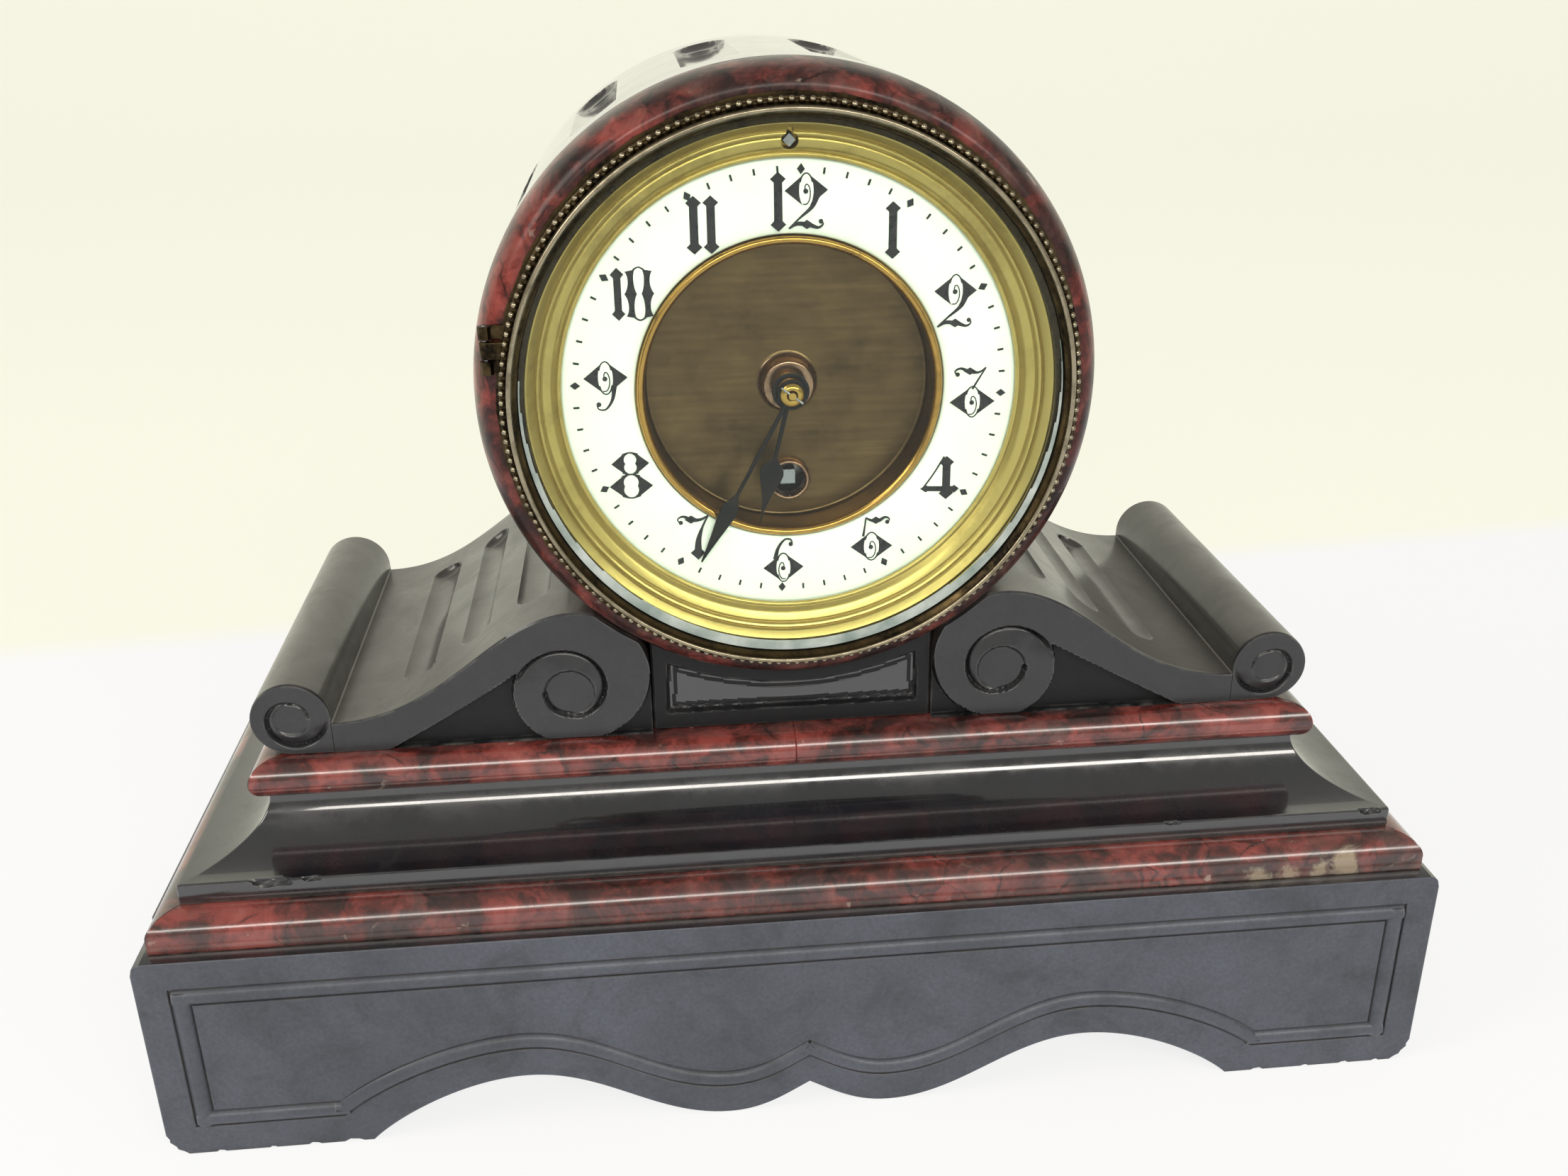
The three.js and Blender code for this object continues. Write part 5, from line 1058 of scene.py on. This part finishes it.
def dialPieces():
    d = dial
    sight = eased([(62.9, 26.3, 0.2), (62.2, 26.3, 0.3), (61.9, 26.9, 0.2), (61.3, 26.7, 0.3),
                   (59.6, 28.0, 0.2), (59.3, 28.7, 0.15), (58.9, 28.35, 0.3), (58.2, 28.75, 0.3),
                   (57.9, 29.5, 0.15), (57.5, 29.3, 0.2), (55.6, 30.1, 0.5), (54.5, 31.5, 0.2),
                   (54.3, 31.2, 0.25), (53.6, 31.3, 0.3), (53.4, 32.2, 0.1), (57.6, 32.2), (62.9, 30.4)],
                  True, 4)
    ringPiece = turnedRing("gilt_sight_ring", sight, giltBrass, 256, sharp=50)
    key = arc((0, axisHeight + d["keyhole"]), 1.95, 115, 425, 30)
    key += [(0.55, axisHeight + d["keyhole"] + 3.1), (-0.55, axisHeight + d["keyhole"] + 3.1)]
    cutAway(ringPiece, cutSlab("key_cut", [key], 20.0, 40.0, 0.05, giltBrass))
    ringPiece.data.set_sharp_from_angle(angle=math.radians(50))
    fit(ringPiece, "case", "gilt", "sight_ring")

    plate = [(36.5, 34.6), (36.5, 33.5)] + quarter((36.5, 33.5), (39.2, 32.35), "end", 8)[1:]
    plate += [(42.0, 32.2), (45.5, 32.15), (49.0, 32.2), (51.4, 32.35)]
    plate += quarter((51.4, 32.35), (54.5, 33.6), "start", 8)[1:] + [(54.5, 34.6)]
    fit(turnedRing("enamel_chapter_ring", plate, enamelWhite, 224, sharp=60), "case", "enamel", "enamel_ring")

    pan = eased([(36.2, 34.4, 0.2), (36.2, 32.9, 0.6), (35.6, 32.2, 0.6), (34.9, 32.2, 0.6),
                 (34.2, 33.0, 0.4), (34.0, 41.2, 0.5), (33.6, 42.0, 0.5), (7.4, 42.0, 0.6), (6.6, 41.2, 0.5),
                 (6.0, 37.5, 0.6), (3.0, 37.5, 0.3), (3.0, 43.2), (34.8, 43.2, 1.0), (35.2, 34.6)], True, 5)
    panPiece = turnedRing("sunk_centre", pan, panBrass, 192, sharp=50)
    hole = axisHeight + d["winding"]
    cutAway(panPiece, roundBar("winding_cut", (0, 30, hole), (0, 50, hole), 4.9, panBrass, 48))

    def away(face):
        return math.hypot(face.center.x, face.center.z - axisHeight * mm) / mm

    faced(panPiece, rimBrass, lambda face: away(face) > 33.9 and face.center.y < place(0, 33.2, 0).y)
    faced(panPiece, collarBrass, lambda face: away(face) < 7.2)
    panPiece.data.set_sharp_from_angle(angle=math.radians(50))
    fit(panPiece, "case", "aged_brass", "centre_disc")

    grommet = eased([(5.3, 42.0, 0.0), (5.3, 40.6, 0.5), (4.9, 39.5, 0.6), (4.4, 39.5, 0.3), (4.1, 40.0, 0.2),
                     (4.1, 43.2), (4.85, 43.2), (4.85, 42.0)], True, 4)
    fit(turnedRing("winding_collar", grommet, collarBrass, 64, d["winding"], sharp=50),
        "case", "brass", "winding_grommet")


dialPieces()


# figures: painted strokes in millimetres about each figure's middle, all standing upright
def stroke(points, widths, steps=9):
    line, sizes = [], []
    padded = [points[0]] + list(points) + [points[-1]]
    for i in range(1, len(padded) - 2):
        a, b, c, d = (np.array(padded[k]) for k in range(i - 1, i + 3))
        for k in range(steps):
            t = k / steps
            line.append(0.5 * (2 * b + (c - a) * t + (2 * a - 5 * b + 4 * c - d) * t ** 2
                               + (3 * b - a - 3 * c + d) * t ** 3))
            sizes.append(widths[i - 1] * (1 - t) + widths[i] * t)
    line.append(np.array(points[-1], float))
    sizes.append(widths[-1])
    line = np.array(line)
    slope = np.gradient(line, axis=0)
    side = np.column_stack([-slope[:, 1], slope[:, 0]]) / np.maximum(np.hypot(*slope.T), 1e-6)[:, None]
    half = np.array(sizes)[:, None] / 2
    return [tuple(p) for p in np.vstack([line + side * half, (line - side * half)[::-1]])]


def dot(x, y, radius):
    return arc((x, y), radius, 0, 345, 23)


def lozenge(x, y, wide, tall):
    return [(x + wide, y), (x, y + tall), (x - wide, y), (x, y - tall)]


# two black wedges facing each other across a white oval, with thin lines joining them over and under it
def splitDiamond(x, y, wide, a, b, coil, bottom=True):
    parts = []
    for hand in (1, -1):
        edge = [(x + hand * a * math.cos(t), y + b * math.sin(t)) for t in np.linspace(1.3, -1.3, 18)]
        parts.append(edge + [(x + hand * wide, y)])
    for up in (1, -1) if bottom else (1,):
        over = [(x + a * math.cos(t), y + up * b * math.sin(t)) for t in np.linspace(0.5, math.pi - 0.5, 7)]
        parts.append(stroke(over, [0.5, 0.34, 0.3, 0.3, 0.3, 0.34, 0.5]))
    # a fine curl from the foot of the oval in to a ball
    curl = [(x - 0.1 + coil * a * (0.92 - 0.1 * k) * math.cos(t),
             y - 0.1 + b * (0.86 - 0.085 * k) * math.sin(t))
            for k, t in enumerate(np.linspace(-2.0, 3.4, 10))]
    parts += [stroke(curl, [0.26] * 10), dot(*curl[-1], 0.55)]
    return parts


# half of the figure eight: a rounded diamond pierced by two rounds that run into each other
def piercedDiamond(y, wide, tall, hole):
    middle = tall - 0.25 - hole
    waist = math.asin(middle / hole)
    edge = [(hole * math.cos(t), middle + hole * math.sin(t)) for t in np.linspace(1.2, -waist, 12)]
    edge += [(px, -py) for px, py in reversed(edge[:-1])]
    shoulder = (0.42 * wide, 0.8 * tall)
    edge += [(shoulder[0], -shoulder[1]), (wide, 0.0), shoulder]
    parts = [[(hand * px, y + py) for px, py in edge] for hand in (1, -1)]
    for up in (1, -1):
        high = y + up * shoulder[1]
        over = [(-shoulder[0], high), (0.0, y + up * tall), (shoulder[0], high)]
        parts.append(stroke(over, [0.5, 0.34, 0.5]))
    return parts


def arrowBar(x, y, half, tall):
    barb, neck = half * 1.85, 1.5
    side = [(0, tall / 2), (barb, tall / 2 - neck), (half, tall / 2 - neck - 0.75),
            (half, -tall / 2 + neck + 0.75), (barb, -tall / 2 + neck), (0, -tall / 2)]
    return [(x + px, y + py) for px, py in side] + [(x - px, y + py) for px, py in reversed(side[1:-1])]


def figureTwo(x, scale=1.0):
    foot = [(-3.9, -5.7), (-2.0, -4.7), (0.6, -5.0), (2.6, -5.6), (3.7, -4.9), (3.3, -4.2)]
    parts = splitDiamond(0, 2.3, 4.8, 1.6, 3.6, 1, False)
    parts += [stroke([(2.2, 1.0), (1.2, -1.2), (-1.6, -3.6), (-3.9, -5.7)], [1.5, 0.9, 0.4, 0.3]),
              stroke(foot, [0.3, 0.8, 1.0, 0.55, 0.3, 0.3]), dot(3.2, -4.3, 0.5),
              lozenge(0.1, -4.9, 1.5, 1.0)]
    return [[(x + px * scale, py) for px, py in part] for part in parts]


def figures():
    half = [(0.8, 5.3), (2.95, 4.9)] + bent((2.95, 4.9), (2.0, 3.6), (2.3, 1.1), (3.25, 0.0), 8)
    half += bent((3.25, 0.0), (2.3, -1.1), (2.0, -3.6), (2.95, -4.9), 8) + [(0.8, -5.3)]
    half += bent((0.8, -5.3), (1.5, -3.8), (1.1, -1.0), (0.5, 0.0), 8)
    half += bent((0.5, 0.0), (1.1, 1.0), (1.5, 3.8), (0.8, 5.3), 8)[:-1]
    zero = lambda x: [[(x + hand * px, py) for px, py in half] for hand in (1, -1)] + [
        stroke([(x - 1.2, up * 5.2), (x, up * 5.8), (x + 1.2, up * 5.2)], [0.4, 0.3, 0.4]) for up in (1, -1)]
    return {
        1: [arrowBar(0, 0, 0.92, 12.4)],
        2: figureTwo(0.0),
        3: splitDiamond(0.3, -2.3, 5.2, 1.75, 3.6, 1) + [
            stroke([(-3.6, 4.2), (-3.9, 5.0), (-2.6, 5.6), (-0.6, 4.8), (1.6, 4.6), (3.2, 5.7)],
                   [0.3, 0.3, 0.5, 0.9, 0.5, 0.3]), dot(-3.3, 4.2, 0.5), lozenge(-0.5, 4.9, 1.4, 0.9),
            stroke([(3.2, 5.7), (1.8, 3.4), (0.2, 0.7)], [0.3, 0.4, 0.5])],
        4: [arrowBar(1.5, 0.0, 0.95, 10.6), stroke([(0.9, 5.2), (-1.6, 1.0), (-4.0, -2.4)], [0.4, 0.35, 0.4]),
            [(-4.4, -2.5), (-3.2, -1.9), (3.2, -2.1), (4.4, -2.8), (3.2, -3.5), (-3.2, -3.1)],
            lozenge(-3.3, -2.5, 1.3, 0.9), lozenge(3.4, -2.8, 1.2, 1.0)],
        5: splitDiamond(0.0, -2.0, 5.0, 1.8, 3.5, 1) + [
            stroke([(-1.4, 5.2), (0.0, 4.5), (1.6, 4.4), (3.2, 5.2), (4.2, 4.7), (3.8, 4.0)],
                   [0.3, 0.6, 0.9, 0.5, 0.3, 0.3]), dot(3.7, 4.0, 0.5), lozenge(1.0, 4.5, 1.4, 0.9),
            stroke([(-1.4, 5.2), (-1.6, 3.2), (-2.0, 0.6)], [0.3, 0.35, 0.6])],
        6: splitDiamond(0.0, -1.9, 4.8, 1.65, 3.6, -1) + [
            stroke([(-1.9, 0.2), (-1.2, 3.0), (0.4, 5.1), (1.9, 5.0), (2.1, 3.9)],
                   [1.2, 0.7, 0.35, 0.3, 0.3]), dot(1.8, 3.9, 0.5)],
        7: [stroke([(-3.7, 3.8), (-4.1, 4.7), (-2.8, 5.3), (-0.8, 4.4), (1.2, 4.4), (3.0, 5.3)],
                   [0.3, 0.3, 0.5, 1.0, 0.6, 0.3]), dot(-3.4, 3.8, 0.5), lozenge(-1.0, 4.5, 1.5, 1.0),
            stroke([(3.0, 5.3), (1.6, 2.6), (0.6, -0.6), (0.4, -3.6)], [0.3, 0.5, 1.3, 1.9]),
            [(-1.4, -3.8), (0.4, -5.6), (2.0, -3.9), (1.3, -3.0), (-0.5, -3.0)]],
        8: piercedDiamond(2.75, 4.3, 2.6, 1.42) + piercedDiamond(-2.65, 4.95, 2.85, 1.68),
        9: splitDiamond(0.0, 1.9, 4.9, 1.65, 3.7, 1) + [
            stroke([(1.9, 0.2), (1.3, -3.0), (-0.2, -5.2), (-1.8, -5.2), (-2.2, -4.2)],
                   [1.2, 0.7, 0.4, 0.3, 0.3]), dot(-1.8, -4.1, 0.55)],
        10: [arrowBar(-2.95, 0, 0.8, 11.6)] + zero(1.75),
        11: [arrowBar(-1.85, 0, 0.92, 12.4), arrowBar(1.85, 0, 0.92, 12.4)],
        12: [arrowBar(-4.6, 0, 0.92, 12.6)] + figureTwo(1.5, 0.98),
    }


def paintedDial():
    d = dial
    pieces = []
    for hour, parts in figures().items():
        a = math.radians(30 * hour + d["turnDeg"])
        x, z = d["figureRadius"] * math.sin(a), axisHeight + d["rise"] + d["figureRadius"] * math.cos(a)
        for k, part in enumerate(parts):
            lift = 0.004 * k      # strokes that cross lie over each other as paint does
            outline = [(x + px * d["bold"], z + pz * d["bold"]) for px, pz in part]
            pieces.append(cutSlab(f"figure_{hour}_{k}", [outline], d["face"] - d["paint"] - lift,
                                  d["face"] + 0.25, 0.0, numeralBlack))
    # minute track: a dash for each minute, a lozenge for each fifth
    values = {"Radius": d["trackRadius"] * mm, "Marks": 60, "Every": 5, "Dash Wide": 0.46 * mm,
              "Dash Long": 1.4 * mm, "Lozenge": 1.05 * mm, "Thick": 0.4 * mm}
    tree, given = newTree("minute_track", values)
    ring = addNode(tree, "GeometryNodeMeshCircle",
                   {"Vertices": given["Marks"], "Radius": given["Radius"]}).outputs[0]
    index = addNode(tree, "GeometryNodeInputIndex", {}).outputs[0]
    fifth = maths(tree, "LESS_THAN", maths(tree, "MODULO", index, given["Every"]), 0.5)
    angle = maths(tree, "MULTIPLY", index, maths(tree, "DIVIDE", 2 * math.pi, given["Marks"]))
    facing = addNode(tree, "ShaderNodeCombineXYZ", {"Z": angle}).outputs[0]
    size = addNode(tree, "ShaderNodeCombineXYZ", {"X": given["Dash Long"], "Y": given["Dash Wide"],
                                                  "Z": given["Thick"]})
    dash = addNode(tree, "GeometryNodeMeshCube", {"Size": size.outputs[0]})
    gem = addNode(tree, "GeometryNodeMeshCylinder", {"Vertices": 4, "Radius": given["Lozenge"],
                                                     "Depth": given["Thick"]})
    both = addNode(tree, "GeometryNodeJoinGeometry", {})
    for mark, where, scale in ((dash, maths(tree, "SUBTRACT", 1.0, fifth), (1.0, 1.0, 1.0)),
                               (gem, fifth, (1.15, 0.85, 1.0))):
        marks = addNode(tree, "GeometryNodeInstanceOnPoints", {
            "Points": ring, "Instance": mark.outputs[0], "Selection": where, "Rotation": facing,
            "Scale": scale})
        tree.links.new(marks.outputs[0], both.inputs[0])
    stood = addNode(tree, "GeometryNodeTransform", {
        "Geometry": both.outputs[0], "Rotation": (math.pi / 2, math.radians(d["turnDeg"]), 0.0),
        "Translation": place(0, d["face"] + 0.08, axisHeight + d["rise"])})
    pieces.append(grow("minute_marks", tree, values, stood, numeralBlack))
    fit(joined("painted_figures", pieces), "case", "black_steel")


paintedDial()
print("clock: dial made")


# bezel: a cast ring with a row of beads and a bright ridge, hinged at the left; its glass is bevelled
bezel = dict(seat=63.2, outer=67.3, front=20.4, back=25.8, beads=184, beadRadius=0.8, beadRing=66.55,
             beadSetback=23.6, hingeX=-69.3, hingeSetback=25.9, hingeLift=14.0, knuckle=1.35,
             knuckleLong=4.0, glassRadius=62.9, glassFlat=59.6, glassFront=22.6, glassBack=24.55, bevel=0.16)


def bezelPieces():
    b = bezel
    ring = eased([(b["seat"] - 1.6, b["back"] - 1.2, 0.1), (b["seat"], b["back"] - 1.2),
                  (b["seat"], 22.3, 0.3), (64.0, 21.5, 0.5), (64.45, 20.5, 0.4), (65.1, b["front"], 0.4),
                  (65.5, 20.9, 0.4), (65.6, 22.9, 0.4), (66.0, 24.1, 0.4), (67.0, 24.0, 0.3),
                  (b["outer"], 24.5, 0.3), (b["outer"], b["back"], 0.2), (b["seat"] - 1.6, b["back"], 0.1)],
                 True, 4)
    rim = turnedRing("bezel_ring", ring, bezelBrass, 224, sharp=45)
    faced(rim, beadBrass, lambda face: face.center.y < place(0, 20.75, 0).y)      # the ridge is rubbed bright
    values = {"Ring Radius": b["beadRing"] * mm, "Beads": b["beads"], "Bead Radius": b["beadRadius"] * mm}
    tree, given = newTree("bead_row", values)
    circle = addNode(tree, "GeometryNodeMeshCircle",
                     {"Vertices": given["Beads"], "Radius": given["Ring Radius"]})
    pearl = addNode(tree, "GeometryNodeMeshUVSphere",
                    {"Segments": 10, "Rings": 7, "Radius": given["Bead Radius"]})
    row = addNode(tree, "GeometryNodeInstanceOnPoints",
                  {"Points": circle.outputs[0], "Instance": pearl.outputs[0]})
    stood = addNode(tree, "GeometryNodeTransform",
                    {"Geometry": row.outputs[0], "Rotation": (math.pi / 2, 0, 0),
                     "Translation": place(0, b["beadSetback"], axisHeight)})
    beads = grow("bezel_beads", tree, values, stood, beadBrass, sharp=80)
    low, high = (axisHeight + b["hingeLift"] + k * b["knuckleLong"] / 2 for k in (-1, 1))
    eye = roundBar("bezel_eye", (b["hingeX"], b["hingeSetback"], low), (b["hingeX"], b["hingeSetback"], high),
                   b["knuckle"], bezelBrass)
    leaf = softBlock("bezel_leaf", (b["hingeX"], b["hingeSetback"] - b["knuckle"], low),
                     (-64.4, b["back"], high), 0.25, bezelBrass)
    whole = joined("beaded_bezel", [rim, beads, eye, leaf])
    whole.data.set_sharp_from_angle(angle=math.radians(45))
    fit(whole, "bezel", "aged_brass", "bezel_frame")
    near, far, flat = b["glassFront"], b["glassBack"], b["glassFlat"]
    bevel = [(r, near + (r - flat) * b["bevel"]) for r in np.linspace(flat + 0.6, b["glassRadius"], 9)]
    pane = [(0.0, near), (flat, near)] + bevel + [(b["glassRadius"], far), (0.0, far)]
    glass = turnedRing("bevelled_glass", pane, glassClear, 160, closed=False, sharp=12)

    def litLowerBevel(face):      # painted highlight: the pale ground finish lies on the lower half of the bevel only
        x, y, z = face.center / mm
        low = min(max((axisHeight + 12 - z) / 60, 0), 1)
        return math.hypot(x, z - axisHeight) > b["glassRadius"] - 2.6 * low

    faced(glass, glassEdge, litLowerBevel)
    fit(glass, "bezel", "glass", "bezel_glass")


bezelPieces()


# hands: flat blacked leaves with a pierced hub each, the minute hand held by a pinned brass collet
hands = dict(minuteFront=30.4, hourFront=32.4, thick=0.8)


def handOutline(length, hub, stem, start, wide, half, waist, turnDeg):
    neck = math.asin(stem / hub)
    line = [(stem, hub * math.cos(neck)), (stem * 0.85, start - 1.5)]
    line += bent((stem * 0.85, start - 1.5), (stem, start + 0.4), (half, wide - 2.6), (half, wide), 10)
    line += bent((half, wide), (half * 0.9, wide + 2.4), (waist, (wide + length) / 2), (0.16, length), 14)
    shape = line + [(-x, z) for x, z in reversed(line)]
    shape += arc((0, 0), hub, 90 + math.degrees(neck), 450 - math.degrees(neck), 40)[1:-1]
    a = math.radians(turnDeg)
    u, v = math.cos(a), math.sin(a)
    return [(x * u + z * v, axisHeight - x * v + z * u) for x, z in shape]


def handPieces():
    h = hands
    minute = handOutline(length=47.0, hub=3.4, stem=0.5, start=29.0, wide=33.0, half=2.1, waist=0.9,
                         turnDeg=208.5)
    hour = handOutline(length=33.4, hub=4.45, stem=0.55, start=17.8, wide=20.8, half=2.9, waist=0.1,
                       turnDeg=193.5)
    hole = lambda radius: arc((0, axisHeight), radius, 0, 350, 35)
    fit(cutSlab("leaf_minute_hand", [minute, hole(1.2)], h["minuteFront"], h["minuteFront"] + h["thick"],
                0.16, handSteel, sharp=35), "minute_group", "black_steel", "minute_hand")
    fit(cutSlab("leaf_hour_hand", [hour, hole(3.35)], h["hourFront"], h["hourFront"] + h["thick"], 0.16,
                handSteel, sharp=35), "hour_group", "black_steel", "hour_hand")
    collet = eased([(0.95, 30.1), (0.95, 29.3, 0.1), (1.3, 28.7, 0.2), (2.0, 28.75, 0.4), (2.8, 29.4, 0.5),
                    (2.8, 29.8, 0.2), (2.5, 30.1, 0.1)], True, 4)
    cap = turnedRing("collet_cap", collet, movementBrass, 48, sharp=50)
    a = math.radians(128)
    reach = 3.2
    pin = roundBar("collet_pin", (reach * math.sin(a), 28.75, axisHeight + reach * math.cos(a)),
                   (-reach * math.sin(a), 28.75, axisHeight - reach * math.cos(a)), 0.3, brightSteel, 12)
    fit(joined("pinned_collet", [cap, pin]), "centre_group", "brass", "hand_collet")


handPieces()
print("clock: bezel and hands made")


# back of the drum: the hinged pressed cover
rear = dict(cover=59.0, coverNear=137.35, coverFar=138.15, hingeX=62.0, hinge=137.75, eye=1.14, eyeLong=6.0)


def rearPieces():
    r = rear
    lid = eased([(0.0, r["coverNear"]), (r["cover"], r["coverNear"], 0.1), (r["cover"], r["coverFar"], 0.3),
                 (56.4, r["coverFar"] + 0.35, 0.5), (54.6, r["coverFar"], 0.6),
                 (50.0, r["coverFar"] + 0.1, 0.5), (48.6, r["coverFar"] + 0.5, 0.5),
                 (47.0, r["coverFar"] + 0.1, 0.5), (16.0, r["coverFar"] + 0.3, 0.8),
                 (14.6, r["coverFar"] + 0.6, 0.4), (13.2, r["coverFar"] + 0.2, 0.4),
                 (0.0, r["coverFar"] + 0.2)], False, 4)
    disc = turnedRing("cover_disc", lid, movementBrass, 160, closed=False, sharp=50)
    half = r["eyeLong"] / 2
    leaf = softBlock("cover_leaf", (r["cover"] - 3, r["coverNear"], axisHeight - half),
                     (r["hingeX"], r["coverFar"], axisHeight + half), 0.15, movementBrass)
    eye = roundBar("cover_eye", (r["hingeX"], r["hinge"], axisHeight - half),
                   (r["hingeX"], r["hinge"], axisHeight + half), r["eye"], movementBrass)
    cover = joined("pressed_cover", [disc, leaf, eye])
    fit(cover, "back_door", "brass", "rear_cover")


rearPieces()


# nodes that stay as they are get their finish here
finishes = {"slate": polishedSlate, "marble": bandMarble, "aged_brass": bezelBrass, "gilt": giltBrass,
            "enamel": enamelWhite, "glass": glassClear, "black_steel": handSteel, "steel": brightSteel,
            "brass": movementBrass}
for name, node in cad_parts.items():
    for slot in node.material_slots:
        words = (slot.material.name if slot.material else "").lower()
        keys = [key for key in sorted(finishes, key=len, reverse=True)
                if key in words or key.replace("_", "") in words]
        slot.material = finishes[keys[0] if keys else "brass"]
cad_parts["rear_bezel"].material_slots[0].material = doorBrass
print("clock: back and movement finished")


# stage: a pale table that turns to the wall's cream further back, two soft lamps and a quiet room
stage = dict(wallNear=(-325.0, 246.7), wallFar=(445.5, 312.0), size=4.0, bend=0.6, wallTop=2.6,
             lift=0.8, room=0.44)


def stagePieces():
    s = stage
    material, tree, shader, coords = startMaterial("pale_table", Roughness=0.7)
    (ax, ay), (bx, by) = s["wallNear"], s["wallFar"]
    turn = math.atan2(by - ay, bx - ax)
    along = addNode(tree, "ShaderNodeMapping", {"vector_type": "TEXTURE", 0: coords,
                                                "Location": (ax * mm, ay * mm, 0), "Rotation": (0, 0, turn)})
    far = ranged(tree, apart(tree, along.outputs[0])["Y"], -0.012, 0.012, 0.0, 1.0)
    tree.links.new(blended(tree, far, "#f4f4f4", "#faf9e6"), shader.inputs["Base Color"])
    shine = addNode(tree, "ShaderNodeEmission",
                    {"Strength": 1.0, "Color": blended(tree, far, "#ffffff", "#ffffee")})
    # metal and glass show the same table as the eye sees
    path = addNode(tree, "ShaderNodeLightPath", {}).outputs
    seen = maths(tree, "MAXIMUM", maths(tree, "MAXIMUM", path["Is Camera Ray"], path["Is Glossy Ray"]),
                 path["Is Transmission Ray"])
    mixedOut(tree, maths(tree, "MULTIPLY", seen, s["lift"]), shader, shine)
    # floor and backdrop in one sweep
    z, bend = s["size"], s["bend"]
    line = [(-4 * z, 0.0), (z * 0.5, 0.0)]
    turns = np.linspace(0.1, math.pi / 2, 10)
    line += [(z * 0.5 + bend * math.sin(t), bend - bend * math.cos(t)) for t in turns]
    line += [(z * 0.5 + bend, s["wallTop"])]
    points = [(side * z * 1.5, y, up) for y, up in line for side in (-1, 1)]
    faces = [(2 * i, 2 * i + 1, 2 * i + 3, 2 * i + 2) for i in range(len(line) - 1)]
    meshPiece("table_sweep", meshOf(points, faces), material, sharp=40)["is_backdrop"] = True
    room = bpy.data.worlds.new("room")
    room.use_nodes = True
    bpy.context.scene.world = room
    sky = room.node_tree.nodes["Background"].inputs
    sky["Color"].default_value = ink("#f3efe6")
    sky["Strength"].default_value = s["room"]
    lamps = [("front_window", (0.25, -1.55, 1.1), (0, 0, 0.1), (2.6, 0.3), 28.0),
             ("side_window", (-1.45, -0.55, 1.25), (0, 0, 0.1), (0.9, 0.9), 13.0)]
    for name, where, at, size, power in lamps:
        light = bpy.data.lights.new(name, "AREA")
        light.shape = "RECTANGLE"
        light.size, light.size_y = size
        light.energy = power
        light.color = ink("#fffaf2")[:3]
        lamp = added(name, light)
        lamp.location = where
        lamp.rotation_euler = (Vector(at) - Vector(where)).to_track_quat("-Z", "Y").to_euler()


stagePieces()


# camera fitted to the photograph's edges: focal length in image widths, axes and place
camera = dict(focal=2082.514 / 2212, where=(-33.317, -304.197, 281.038),
              turn=(0.404784, -0.093512, -0.031353))


def cameraPiece():
    c = camera
    turn = Vector(c["turn"])
    look = Matrix.Rotation(turn.length, 3, turn.normalized()) @ Matrix(((1, 0, 0), (0, 0, -1), (0, 1, 0)))
    right, down, ahead = look
    view = bpy.data.cameras.new("view")
    view.sensor_fit = "HORIZONTAL"
    view.sensor_width = 36.0
    view.lens = 36.0 * c["focal"]
    view.clip_start = 0.01
    eye = added("view", view)
    axes = Matrix((right, -down, -ahead)).transposed().to_4x4()
    eye.matrix_world = Matrix.Translation(place(*c["where"])) @ axes
    bpy.context.scene.camera = eye


cameraPiece()
bpy.context.scene.view_settings.view_transform = "Standard"
{"cad": cadBox, "visual": [list(corner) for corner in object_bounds()]}
print("clock: scene ready")
